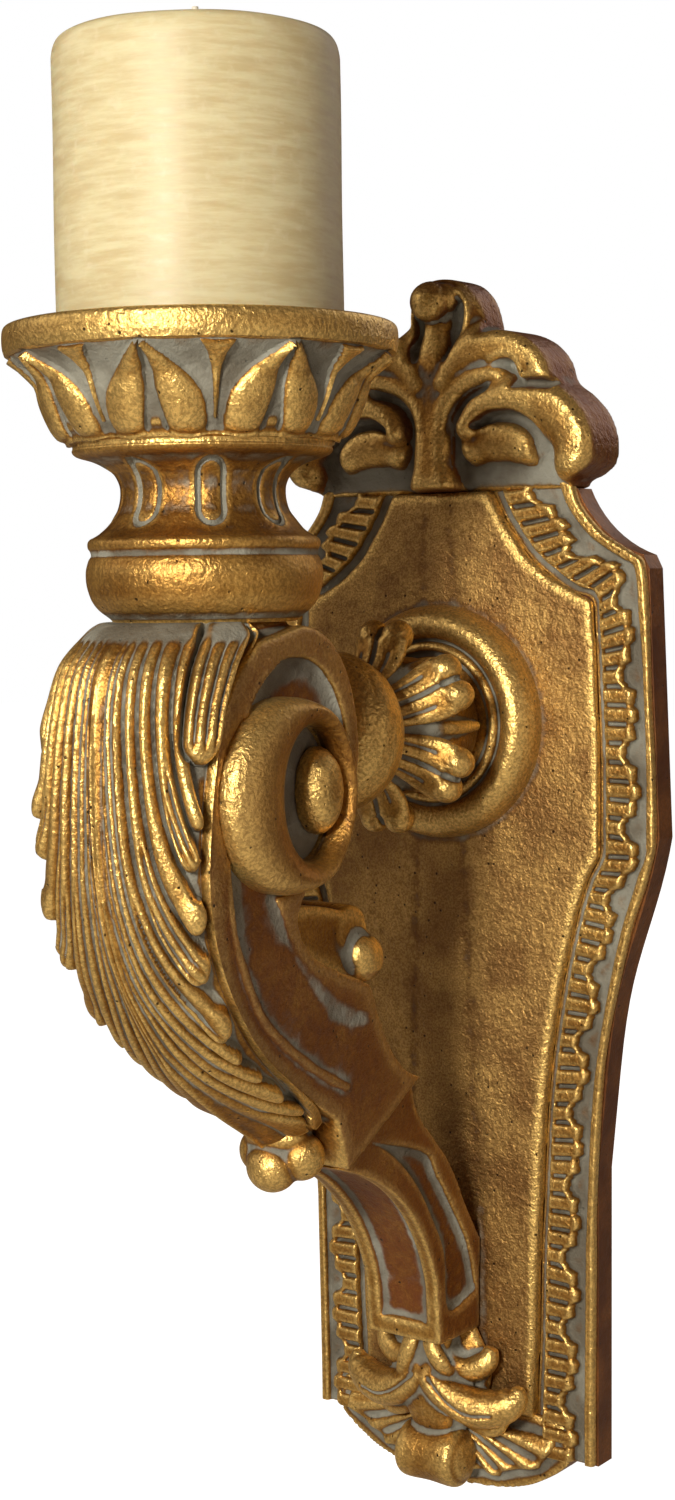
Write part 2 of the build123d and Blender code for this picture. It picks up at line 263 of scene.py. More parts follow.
# a slab from the wall whose outline is (x, z) and whose face stands at depth(x, z)
def carved(name, outline, back, front, depth, voxel=0.7, rounds=2):
    bm = bmesh.new()
    corners = [bm.verts.new((x * mm, -back * mm, z * mm)) for x, z in outline]
    face = bm.faces.new(corners)
    raised = bmesh.ops.extrude_face_region(bm, geom=[face], use_keep_orig=True)
    moved = [g for g in raised["geom"] if isinstance(g, bmesh.types.BMVert)]
    bmesh.ops.translate(bm, verts=moved, vec=(0, -(front - back) * mm, 0))
    bmesh.ops.triangulate(bm, faces=bm.faces)
    bmesh.ops.recalc_face_normals(bm, faces=bm.faces)
    piece = remeshed(newPiece(name, bm), voxel, 0)
    points = readPoints(piece.data)
    facing = points[:, 1] < -front + voxel
    points[facing, 1] = -depth(points[facing, 0], points[facing, 2])
    writePoints(piece.data, points)
    return remeshed(piece, voxel, rounds)


# a profile of (radius, height) spun round an axis; relief(angle, radius, height) stands out from it
def turned(name, profile, steps, centre=(0, 0, 0), outwards=False, relief=None):
    line = np.asarray(profile, float)
    bm = bmesh.new()
    along = bm.verts.layers.float.new("along")
    verts = []
    for index, (radius, height) in enumerate(line):
        vert = bm.verts.new((radius * mm, 0, height * mm))
        vert[along] = index
        verts.append(vert)
    closed = line[0][0] > 0.01
    pairs = list(zip(verts, verts[1:])) + ([(verts[-1], verts[0])] if closed else [])
    edges = [bm.edges.new(pair) for pair in pairs]
    bmesh.ops.spin(bm, geom=verts + edges, cent=(0, 0, 0), axis=(0, 0, 1), angle=2 * math.pi,
                   steps=steps, use_merge=True, use_duplicate=False)
    piece = newPiece(name, bm)
    index = np.empty(len(piece.data.vertices), np.float32)
    piece.data.attributes["along"].data.foreach_get("value", index)
    points = readPoints(piece.data)
    angle = np.arctan2(points[:, 1], points[:, 0])
    radius = np.hypot(points[:, 0], points[:, 1])
    if relief:
        ahead = np.gradient(line, axis=0)
        ahead /= np.maximum(np.linalg.norm(ahead, axis=1), 1e-6)[:, None]
        whole = index.astype(int)
        rise = relief(angle, radius, points[:, 2])
        points[:, 2] -= rise * ahead[whole, 0]
        radius = radius + rise * ahead[whole, 1]
        points[:, 0], points[:, 1] = radius * np.cos(angle), radius * np.sin(angle)
    piece.data.attributes.remove(piece.data.attributes["along"])
    if outwards:
        points = np.stack([points[:, 0], -points[:, 2], points[:, 1]], axis=1)
    writePoints(piece.data, points + np.asarray(centre))
    closeUp(piece)
    return piece


# writes how far each point lies under (+) or above (-) the surface round it, at two sizes
def weather(piece, fine=8, broad=60, wash=None, boleAndShade=None):
    mesh = piece.data
    points, normals, ends = readPoints(mesh), readNormals(mesh), edgeEnds(mesh)
    near = relaxed(points, ends, fine)
    far = relaxed(near, ends, broad - fine)
    layers = {"fine": ((near - points) * normals).sum(1), "broad": ((far - points) * normals).sum(1)}
    layers["fine"] = relaxed(layers["fine"][:, None], ends, 1)[:, 0]
    layers["wash"] = wash(points, normals) if wash else np.zeros(len(points))
    # the bole layer holds red-brown bole together with painted shade of faces turned aside
    layers["boleAndShade"] = boleAndShade(points, normals) if boleAndShade else np.zeros(len(points))
    for name, values in layers.items():
        layer = mesh.attributes.new(name, "FLOAT", "POINT")
        layer.data.foreach_set("value", np.asarray(values, np.float32))


# material nodes

def addNode(tree, kind, inputs=None, **settings):
    made = tree.nodes.new("ShaderNode" + kind)
    for key, value in settings.items():
        setattr(made, key, value)
    for key, value in (inputs or {}).items():
        if isinstance(value, bpy.types.NodeSocket):
            tree.links.new(value, made.inputs[key])
        else:
            made.inputs[key].default_value = value
    return made


def doMath(tree, operation, a, b=0.0, clamp=False):
    return addNode(tree, "Math", {0: a, 1: b}, operation=operation, use_clamp=clamp).outputs[0]


def mixColour(tree, factor, a, b):
    return addNode(tree, "Mix", {0: factor, 6: a, 7: b}, data_type="RGBA").outputs[2]


def mapTo(tree, value, low, high, toLow=0.0, toHigh=1.0):
    return addNode(tree, "MapRange", {0: value, 1: low, 2: high, 3: toLow, 4: toHigh},
                   interpolation_type="SMOOTHSTEP").outputs[0]


def newGroup(name, inputs, outputs):
    group = bpy.data.node_groups.new(name, "ShaderNodeTree")
    for label, kind, value in inputs:
        socket = group.interface.new_socket(label, in_out="INPUT", socket_type=kind)
        socket.default_value = value
    for label, kind in outputs:
        group.interface.new_socket(label, in_out="OUTPUT", socket_type=kind)
    return group, group.nodes.new("NodeGroupInput"), group.nodes.new("NodeGroupOutput")


def useGroup(tree, group, inputs=None):
    made = tree.nodes.new("ShaderNodeGroup")
    made.node_tree = group
    for key, value in (inputs or {}).items():
        made.inputs[key].default_value = value
    return made


def newMaterial(name):
    material = bpy.data.materials.new(name)
    material.use_nodes = True
    tree = material.node_tree
    return material, tree, tree.nodes["Principled BSDF"]


# cast grain: leaf wrinkles, soft lumps, pinholes and broad clouds
def grainGroup():
    group, enter, leave = newGroup("castGrain", [("Scale", "NodeSocketFloat", 900.0),
                                                 ("Pinholes", "NodeSocketFloat", 0.5)],
                                   [("Height", "NodeSocketFloat"), ("Pits", "NodeSocketFloat"),
                                    ("Clouds", "NodeSocketFloat"), ("Flecks", "NodeSocketFloat")])
    coords = addNode(group, "TexCoord").outputs["Object"]
    scale = enter.outputs["Scale"]
    fine = addNode(group, "TexNoise", {"Vector": coords, "Scale": scale, "Detail": 3.0, "Roughness": 0.6})
    lumps = addNode(group, "TexNoise", {"Vector": coords, "Scale": doMath(group, "MULTIPLY", scale, 0.36),
                                        "Detail": 2.0, "Distortion": 0.4})
    cells = addNode(group, "TexVoronoi", {"Vector": coords, "Scale": 330.0, "Randomness": 1.0})
    rare = addNode(group, "TexNoise", {"Vector": coords, "Scale": 260.0, "Detail": 1.0})
    pit = mapTo(group, cells.outputs["Distance"], 0.10, 0.17, 1.0, 0.0)
    pit = doMath(group, "MULTIPLY", pit, mapTo(group, rare.outputs["Fac"], 0.56, 0.6))
    pit = doMath(group, "MULTIPLY", pit, enter.outputs["Pinholes"], clamp=True)
    clouds = addNode(group, "TexNoise", {"Vector": coords, "Scale": 55.0, "Detail": 3.0, "Roughness": 0.55})
    height = doMath(group, "MULTIPLY", fine.outputs["Fac"], 0.5)
    height = doMath(group, "ADD", height, doMath(group, "MULTIPLY", lumps.outputs["Fac"], 0.9))
    height = doMath(group, "SUBTRACT", height, doMath(group, "MULTIPLY", pit, 0.7))
    group.links.new(height, leave.inputs["Height"])
    group.links.new(pit, leave.inputs["Pits"])
    group.links.new(clouds.outputs["Fac"], leave.inputs["Clouds"])
    group.links.new(mapTo(group, fine.outputs["Fac"], 0.40, 0.60), leave.inputs["Flecks"])
    return group


# age: grey wash that lies in the hollows, dark brown painted shade in and round them, a red-brown mask that
# is partly bole and partly painted shade on faces turned aside, and leaf rubbed bright on what stands proud
def ageGroup():
    group, enter, leave = newGroup("ageMasks", [("Wash", "NodeSocketFloat", 1.0),
                                                ("Rub", "NodeSocketFloat", 1.0)],
                                   [("Wash", "NodeSocketFloat"), ("Rub", "NodeSocketFloat"),
                                    ("BoleAndShade", "NodeSocketFloat"), ("HollowShade", "NodeSocketFloat")])
    coords = addNode(group, "TexCoord").outputs["Object"]
    fine, broad, wash, boleAndShade = [addNode(group, "Attribute", attribute_name=n).outputs["Fac"]
                               for n in ("fine", "broad", "wash", "boleAndShade")]
    patch = addNode(group, "TexNoise", {"Vector": coords, "Scale": 240.0, "Detail": 4.0, "Roughness": 0.65})
    uneven = doMath(group, "SUBTRACT", patch.outputs["Fac"], 0.5)
    hollow = doMath(group, "ADD", doMath(group, "MULTIPLY", fine, 3.2),
                    doMath(group, "MULTIPLY", broad, 0.85))
    hollow = doMath(group, "MULTIPLY", hollow, enter.outputs["Wash"])
    hollow = doMath(group, "ADD", hollow, wash)
    hollow = doMath(group, "ADD", hollow, doMath(group, "MULTIPLY", uneven, 1.1))
    proud = doMath(group, "ADD", doMath(group, "MULTIPLY", fine, -2.6),
                   doMath(group, "MULTIPLY", broad, -0.55))
    proud = doMath(group, "MULTIPLY", proud, enter.outputs["Rub"])
    proud = doMath(group, "ADD", proud, doMath(group, "MULTIPLY", uneven, 0.3))
    group.links.new(mapTo(group, hollow, 0.16, 0.86), leave.inputs["Wash"])
    # painted shade: this mask darkens the gold from the shallowest hollows inwards, broken up by random
    # patches
    group.links.new(mapTo(group, hollow, -0.05, 0.40), leave.inputs["HollowShade"])
    group.links.new(mapTo(group, proud, 0.05, 0.75), leave.inputs["Rub"])
    group.links.new(doMath(group, "ADD", boleAndShade, doMath(group, "MULTIPLY", uneven, boleAndShade), clamp=True),
                    leave.inputs["BoleAndShade"])
    return group


castGrain = grainGroup()
ageMasks = ageGroup()


def giltMaterial(name, settings):
    material, tree, shader = newMaterial(name)
    grain = useGroup(tree, castGrain, {"Scale": settings["grain"], "Pinholes": settings["pinholes"]})
    age = useGroup(tree, ageMasks, {"Wash": settings["wash"], "Rub": settings["rub"]})
    cloud = mapTo(tree, grain.outputs["Clouds"], 0.35, 0.65)
    gold = mixColour(tree, cloud, settings["deep"], settings["gold"])
    gold = mixColour(tree, age.outputs["Rub"], gold, settings["bright"])
    fleck = doMath(tree, "MULTIPLY", grain.outputs["Flecks"], settings["flecks"])
    gold = mixColour(tree, fleck, gold, settings["fleckAndShadeBrown"])
    # painted shade: the gold turns dark brown in the hollows; the flecks above are real speckle of the same
    # brown
    gold = mixColour(tree, doMath(tree, "MULTIPLY", age.outputs["HollowShade"], settings["hollowShadeCover"]), gold,
                     settings["fleckAndShadeBrown"])
    # red-brown from the bole mask: bole showing through on some parts, painted shade on faces turned aside
    gold = mixColour(tree, age.outputs["BoleAndShade"], gold, settings["boleAndShade"])
    gold = mixColour(tree, grain.outputs["Pits"], gold, settings["pit"])
    greyed = mixColour(tree, cloud, settings["washDark"], settings["washPale"])
    cover = doMath(tree, "MULTIPLY", age.outputs["Wash"], settings["washCover"])
    tree.links.new(mixColour(tree, cover, gold, greyed), shader.inputs["Base Color"])
    metal = doMath(tree, "SUBTRACT", settings["metal"], doMath(tree, "MULTIPLY", cover, 0.8))
    metal = doMath(tree, "SUBTRACT", metal, doMath(tree, "MULTIPLY", age.outputs["BoleAndShade"], 0.35), clamp=True)
    tree.links.new(metal, shader.inputs["Metallic"])
    rough = doMath(tree, "ADD", settings["rough"], doMath(tree, "MULTIPLY", cover, 0.35))
    rough = doMath(tree, "SUBTRACT", rough, doMath(tree, "MULTIPLY", age.outputs["Rub"], 0.07))
    rough = doMath(tree, "ADD", rough, doMath(tree, "MULTIPLY", grain.outputs["Clouds"], 0.1), clamp=True)
    tree.links.new(rough, shader.inputs["Roughness"])
    bump = addNode(tree, "Bump", {"Height": grain.outputs["Height"], "Strength": settings["bump"],
                                  "Distance": 0.5 * mm})
    tree.links.new(bump.outputs["Normal"], shader.inputs["Normal"])
    return material


giltSettings = {
    "grain": 1150.0, "pinholes": 0.9, "wash": 1.25, "rub": 1.0, "washCover": 0.9, "metal": 0.86,
    "rough": 0.37, "bump": 1.0, "flecks": 0.40, "hollowShadeCover": 0.75,
    "deep": (0.35, 0.165, 0.030, 1), "gold": (0.52, 0.285, 0.065, 1), "bright": (0.82, 0.55, 0.18, 1),
    "boleAndShade": (0.17, 0.045, 0.010, 1), "pit": (0.025, 0.012, 0.005, 1),
    "fleckAndShadeBrown": (0.125, 0.048, 0.010, 1), "washDark": (0.125, 0.118, 0.092, 1),
    "washPale": (0.27, 0.275, 0.235, 1),
}
gilt = giltMaterial("agedGilt", giltSettings)
panelGilt = giltMaterial("stippledGilt", {**giltSettings, "grain": 1500.0, "bump": 1.0, "rough": 0.40,
                                          "washCover": 0.7, "flecks": 0.5, "deep": (0.31, 0.17, 0.055, 1),
                                          "gold": (0.54, 0.33, 0.105, 1)})
# a darker copy of the gilt for the board, whose side walls show: red-brown bole with painted shade
shadedBoardGilt = giltMaterial("boardBoleAndShade", {**giltSettings, "deep": (0.13, 0.040, 0.012, 1), "metal": 0.45,
                                           "gold": (0.26, 0.095, 0.024, 1), "rough": 0.42, "bump": 0.5})


def waxMaterial():
    material, tree, shader = newMaterial("ivoryWax")
    coords = addNode(tree, "TexCoord").outputs["Object"]
    flat = addNode(tree, "Mapping", {"Vector": coords, "Scale": (1.0, 1.0, 7.0)}).outputs[0]
    streaks = addNode(tree, "TexNoise", {"Vector": flat, "Scale": 70.0, "Detail": 6.0, "Roughness": 0.62})
    mottle = addNode(tree, "TexNoise", {"Vector": coords, "Scale": 260.0, "Detail": 3.0})
    soft = mapTo(tree, streaks.outputs["Fac"], 0.3, 0.7)
    colour = mixColour(tree, soft, (0.53, 0.43, 0.235, 1), (0.63, 0.565, 0.35, 1))
    colour = mixColour(tree, mapTo(tree, mottle.outputs["Fac"], 0.55, 0.75, 0.0, 0.35), colour,
                       (0.68, 0.62, 0.43, 1))
    tree.links.new(colour, shader.inputs["Base Color"])
    tree.links.new(mapTo(tree, streaks.outputs["Fac"], 0.3, 0.7, 0.42, 0.58), shader.inputs["Roughness"])
    dimples = doMath(tree, "MULTIPLY", mottle.outputs["Fac"], 0.5)
    height = doMath(tree, "ADD", streaks.outputs["Fac"], dimples)
    bump = addNode(tree, "Bump", {"Height": height, "Strength": 0.12, "Distance": 0.3 * mm})
    tree.links.new(bump.outputs["Normal"], shader.inputs["Normal"])
    shader.inputs["Subsurface Weight"].default_value = 0.25
    shader.inputs["Subsurface Radius"].default_value = (0.012, 0.006, 0.003)
    shader.inputs["Subsurface Scale"].default_value = 1.0
    return material


def plainMaterial(name, dark, pale, scale, stretch, metal, rough, bump):
    material, tree, shader = newMaterial(name)
    coords = addNode(tree, "TexCoord").outputs["Object"]
    flat = addNode(tree, "Mapping", {"Vector": coords, "Scale": stretch}).outputs[0]
    grain = addNode(tree, "TexNoise", {"Vector": flat, "Scale": scale, "Detail": 5.0, "Roughness": 0.6})
    tone = mapTo(tree, grain.outputs["Fac"], 0.3, 0.7)
    tree.links.new(mixColour(tree, tone, dark, pale), shader.inputs["Base Color"])
    tree.links.new(mapTo(tree, grain.outputs["Fac"], 0.3, 0.7, rough, rough + 0.15),
                   shader.inputs["Roughness"])
    shader.inputs["Metallic"].default_value = metal
    made = addNode(tree, "Bump", {"Height": grain.outputs["Fac"], "Strength": bump, "Distance": 0.2 * mm})
    tree.links.new(made.outputs["Normal"], shader.inputs["Normal"])
    return material


wax = waxMaterial()
steel = plainMaterial("zincSteel", (0.36, 0.36, 0.35, 1), (0.62, 0.62, 0.60, 1), 400.0, (1, 1, 6), 1.0, 0.28,
                      0.15)
beech = plainMaterial("beechDowel", (0.42, 0.25, 0.12, 1), (0.66, 0.46, 0.26, 1), 160.0, (6, 6, 1), 0.0, 0.5,
                      0.2)
cotton = plainMaterial("braidedCotton", (0.62, 0.57, 0.47, 1), (0.86, 0.82, 0.72, 1), 900.0, (1, 1, 3), 0.0,
                       0.8, 0.6)
print("materials made")


def dress(piece, material):
    piece.data.materials.clear()
    piece.data.materials.append(material)


def finishPiece(piece, body, replaced, material=None, fine=8, broad=60, wash=None, boleAndShade=None):
    weather(piece, fine, broad, wash, boleAndShade)
    dress(piece, material or gilt)
    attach(piece, body)
    if replaced:
        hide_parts(*replaced)
    print("made", piece.name, len(piece.data.vertices), "points")
    return piece


# candle and cup, on the cup's axis
cup = {"y": -124.5, "leaves": 8, "slotHeight": 67.0, "candleSteps": 160, "dishSteps": 560, "spoolSteps": 420}

candleProfile = bend([(0.01, 110.0), (20, 109.7), (37.2, 109.55), (38.0, 110.2), (38.15, 113), (38.1, 150),
                      (38.05, 176), (37.9, 181.5), (36.8, 184.6), (34.6, 185.7), (31, 185.6), (24, 184.6),
                      (12, 183.9), (3, 183.6), (0.01, 183.4)], 7)


# the wax stands a hair uneven, as cast
def waxRelief(angle, radius, height):
    return 0.10 * np.sin(3 * angle + height * 0.11) + 0.05 * np.sin(7 * angle - height * 0.07)


candlePiece = turned("candleWax", candleProfile, cup["candleSteps"], (0, cup["y"], 0), relief=waxRelief)
dress(candlePiece, wax)
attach(candlePiece, "candle_body")
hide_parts("candle")

dishOutside = bend([(34.6, 79.05), (34.7, 80.2), (35.7, 81), (38.8, 84), (40.8, 87.5), (42.6, 91.7),
                    (44, 96), (45.6, 98), (47.9, 100), (50.3, 101.8), (51.4, 102.7)], 7)
dishProfile = np.vstack([[(4.1, 79.05), (20, 79.05), (33, 79.05)], dishOutside,
                         bend([(52.0, 103.6), (52.5, 105.5), (52.6, 108.2), (52.3, 110.2), (51.4, 111.1),
                               (49.8, 111.2), (48.8, 110.6), (48.4, 109.6)], 4),
                         [(47, 109.4), (40, 109.4), (30, 109.4), (20, 109.4), (12.1, 109.4), (12.1, 105),
                          (12.1, 100), (8, 100), (4.1, 100), (4.1, 90)]])
leafZ = [82, 83, 85, 88, 91, 94, 97, 100, 102.3, 103]
leafWide = [12.4, 12.9, 13.4, 13.6, 13.0, 11.2, 8.6, 5.2, 1.6, 0.5]
veinWide = [2.9, 2.8, 2.5, 1.9, 1.4, 1.1, 0.9, 0.6, 0.2, 0.1]
dartZ = [84, 88, 93, 97, 100, 101.8, 103]
dartWide = [0.3, 0.5, 1.0, 1.7, 2.8, 4.2, 5.0]


# distance to the middle of the nearest leaf, and to the dart between two leaves
def fromLeaf(angle, radius):
    pitch = 2 * math.pi / cup["leaves"]
    front = angle + math.pi / 2  # 0 faces the room
    offset = front % pitch - pitch / 2
    return np.abs(offset) * radius, (pitch / 2 - np.abs(offset)) * radius


# points of a mesh as angle, radius and height on the cup's axis
def placeOnCup(points):
    radius = np.hypot(points[:, 0], points[:, 1] - cup["y"])
    angle = np.arctan2(points[:, 1] - cup["y"], points[:, 0])
    return angle, radius, points[:, 2]


def dishRelief(angle, radius, height):
    outer = (radius > 33.5) & (height < 103.2)
    offset, fromDart = fromLeaf(angle, radius)
    wide, vein = np.interp(height, leafZ, leafWide), np.interp(height, leafZ, veinWide)
    body = np.clip((offset - vein) / np.maximum(wide - vein, 0.3), 0, 1)
    halfLeaf = np.sin(np.pi * body ** 0.85) ** 0.5 * smooth((height - 80.4) / 2.6)
    halfLeaf *= (offset > vein) & (offset < wide) & (height < 102.6)
    heel = smooth((86.5 - height) / 3.5) * smooth((2.6 - offset * smooth((height - 80) / 4)) / 1.6)
    dart = dome(np.clip((np.interp(height, dartZ, dartWide) - fromDart) / 2.2, 0, 1))
    dart = dart * (height > 84) * (height < 102.3)
    rise = 2.5 * halfLeaf + 0.9 * heel * (height > 81) + 1.7 * dart - 0.9 * smooth((height - 81) / 1.5)
    return np.where(outer, rise, 0.0)


def dishWash(points, normals):
    angle, radius, height = placeOnCup(points)
    offset, fromDart = fromLeaf(angle, radius)
    wide, vein = np.interp(height, leafZ, leafWide), np.interp(height, leafZ, veinWide)
    ground = (offset > wide + 0.2) & (fromDart > np.interp(height, dartZ, dartWide) - 0.4)
    ground |= offset < vein - 0.3
    zone = smooth((height - 81.6) / 1.5) * smooth((103.4 - height) / 0.6) * (radius > 33.5)
    seat = 0.35 * (normals[:, 2] > 0.9)
    return 0.75 * ground * zone + seat


dish = turned("dishLeaves", dishProfile, cup["dishSteps"], (0, cup["y"], 0), relief=dishRelief)
finishPiece(dish, "sconce", ["dish"], wash=dishWash)

spoolProfile = np.vstack([
    [(4.1, 33.0), (12, 33.0), (19, 33.0)],
    bend([(24.6, 33.05), (25.6, 34.2), (28.4, 36.4), (30.2, 38.8), (31.2, 41.5), (31.7, 44), (31.7, 47),
          (31.0, 49.6), (30.3, 50.8), (30.5, 52), (31.1, 53.0), (31.1, 54.4), (30.4, 55.3), (29.4, 55.8),
          (27.8, 56.8), (26.4, 58), (24.8, 60), (23.1, 62.4), (22.3, 64.8), (22.0, 67.2), (22.2, 69.5),
          (23.2, 71.8), (24.2, 72.9), (25.6, 73.9), (27.6, 75.1), (30, 76.1), (33.2, 77.0), (34.4, 77.7),
          (34.8, 78.5), (34.6, 79.0)], 5),
    [(30, 79.0), (20, 79.0), (10, 79.0), (4.1, 79.0), (4.1, 60)]])


# eight upright slots round the waist, each with a cabochon in it
def slotGap(angle, radius, height):
    offset, _ = fromLeaf(angle + math.pi / cup["leaves"], radius)
    tall = np.maximum(np.abs(height - cup["slotHeight"]) - 4.9, 0) * 1.05
    return np.hypot(offset, tall)


def spoolRelief(angle, radius, height):
    gap = slotGap(angle, radius, height)
    waist = (height > 56.5) & (height < 76.8) & (radius < 34)
    groove = -1.1 * smooth((4.2 - gap) / 0.7) + 1.0 * dome(smooth((3.1 - gap) / 1.3))
    groove = groove + 0.25 * smooth((2.4 - gap) / 2)
    rim = 0.06 * smooth(1 - np.abs(gap - 5.0) / 0.9)
    return np.where(waist & (radius > 15), groove + rim, 0.0)


def spoolWash(points, normals):
    angle, radius, height = placeOnCup(points)
    gap = slotGap(angle, radius, height)
    slot = ((gap > 2.7) & (gap < 4.4) & (height > 56.5) & (height < 76.8) & (radius < 30)) * 1.0
    inSlot = (gap < 2.7) * 0.26 * (radius < 30)
    neck = smooth((37.4 - height) / 2.0)
    groove = smooth(1 - np.abs(height - 51.4) / 1.5)
    under = smooth(1 - np.abs(height - 75.6) / 1.8) * 0.35
    return 0.95 * slot + inSlot + 0.75 * neck + 0.5 * groove + under


spool = turned("turnedSpool", spoolProfile, cup["spoolSteps"], (0, cup["y"], 0), relief=spoolRelief)
finishPiece(spool, "sconce", ["cup_spool"], wash=spoolWash, broad=18)


# acanthus leaf over the front of the arm
# stations down the leaf: run, half width, edge y and z, crown y and z
leafStations = np.array([
    (-11.0, 21.0, -133.0, 33.6, -146.5, 33.6), (-5.5, 24.0, -133.8, 32.0, -153.0, 32.0),
    (0.0, 26.2, -134.5, 29.5, -158.8, 28.8), (11.0, 28.0, -144.0, 21.0, -164.8, 20.5),
    (23.8, 28.2, -151.0, 9.0, -167.6, 8.5), (38.5, 28.2, -155.0, -6.0, -168.4, -5.5),
    (52.5, 27.8, -156.5, -20.0, -168.2, -19.5), (68.5, 27.2, -156.5, -36.0, -166.6, -36.0),
    (86.2, 26.2, -152.0, -52.0, -161.5, -54.0), (103.9, 25.0, -143.5, -67.0, -152.5, -70.0),
    (122.9, 22.8, -131.5, -80.5, -139.5, -85.8), (141.8, 20.6, -117.0, -91.0, -123.5, -98.5),
    (157.3, 17.0, -104.0, -99.0, -110.5, -107.0), (166.0, 12.0, -95.0, -105.5, -102.5, -112.5)])
leafSet = {"thick": 3.7, "rib": 1.9, "arc": 33.0, "uSteps": 280, "vSteps": 310, "end": 4.4}
# each rib's line, as points of run and share of the half width, from the outermost lobe to the middle:
# where its tip is, how many small ribs its lobe has, how full the tip is
leafRibs = [
    ([(-11, 0.50), (0, 0.52), (20, 0.555), (34, 0.61), (43, 0.70), (51, 0.82), (58, 0.98), (68, 1.25),
      (166, 1.3)],
     51.3, 1, 2.6),
    ([(-11, 0.37), (0, 0.385), (20, 0.43), (40, 0.50), (52, 0.61), (60, 0.75), (68, 0.95), (78, 1.2),
      (166, 1.25)],
     61.5, 3, 1.7),
    ([(-11, 0.285), (0, 0.29), (20, 0.32), (40, 0.37), (57, 0.46), (68, 0.60), (77, 0.79), (84, 0.97),
      (94, 1.16), (166, 1.2)], 77.5, 1, 2.4),
    ([(-11, 0.20), (0, 0.205), (20, 0.225), (40, 0.26), (60, 0.32), (75, 0.43), (85, 0.57), (91, 0.70),
      (99, 0.90), (110, 1.12), (166, 1.15)], 92.0, 3, 1.8),
    ([(-11, 0.12), (0, 0.125), (20, 0.135), (40, 0.16), (60, 0.20), (80, 0.29), (95, 0.43), (105, 0.56),
      (112, 0.69), (120, 0.86), (130, 1.07), (166, 1.1)], 112.0, 2, 1.7),
    ([(-11, 0.075), (20, 0.08), (40, 0.10), (60, 0.13), (80, 0.19), (95, 0.29), (110, 0.46), (121, 0.67),
      (130, 0.87), (140, 1.04), (166, 1.06)], 121.5, 1, 1.0),
    ([(-11, 0.05), (40, 0.06), (60, 0.085), (80, 0.125), (100, 0.22), (115, 0.40), (124, 0.57), (131, 0.76),
      (138, 0.94), (148, 1.02), (166, 1.04)], 131.0, 1, 1.0),
    ([(-11, 0.03), (60, 0.05), (80, 0.08), (100, 0.14), (120, 0.32), (135, 0.55), (144, 0.74), (152, 0.93),
      (160, 1.0), (166, 1.02)], 144.5, 1, 0.9),
    ([(-11, 0.018), (80, 0.045), (100, 0.08), (120, 0.18), (140, 0.44), (152, 0.68), (160, 0.90),
      (166, 0.99)],
     157.0, 1, 0.8),
    ([(-11, 0.008), (100, 0.035), (120, 0.08), (140, 0.24), (155, 0.52), (166, 0.80)], 164.0, 1, 0.6),
]
leafInner = np.array([(-11, 0.60), (0, 0.58), (20, 0.54), (38, 0.54), (50, 0.58), (66, 0.60), (90, 0.55),
                      (115, 0.52), (135, 0.50), (150, 0.52), (166, 0.8)])
# the upper lobe with four ribs, beside the others
broadLobe = [(-11, 0.72), (0, 0.74), (15, 0.77), (34, 0.80)]


# where a point of the smooth leaf lies: across is 0 on the middle and 1 at the edge
def leafPlace(run, across):
    line = bend(leafStations, 8)
    half, edgeY, edgeZ, crownY, crownZ = [np.interp(run, line[:, 0], line[:, k]) for k in range(1, 6)]
    turn = np.clip(across, -1, 1) * math.pi / 2
    lean = np.cos(turn)
    outY, outZ = (crownY - edgeY) * lean, (crownZ - edgeZ) * lean
    return np.stack([half * np.sin(turn), edgeY + outY, edgeZ + outZ], 1)


# counts the ribs passed on the way in from the edge, and how wide one of them is there, in mm
def leafFlow(run, across):
    out = np.clip(np.abs(across), 0, 1)
    lines = [np.interp(run, *bend(points, 6).T) for points, _, _, _ in leafRibs]
    outer, passed, pitch = lines[0] + 0.16, np.full(len(run), 0.0), np.full(len(run), 0.12)
    for inner in lines + [np.full(len(run), -0.012)]:
        gap = np.maximum(outer - inner, 0.006)
        passed += np.clip((outer - out) / gap, 0, 1)
        pitch = np.where((out <= outer) & (out > inner), gap, pitch)
        outer = inner
    return passed, out, pitch * leafSet["arc"]


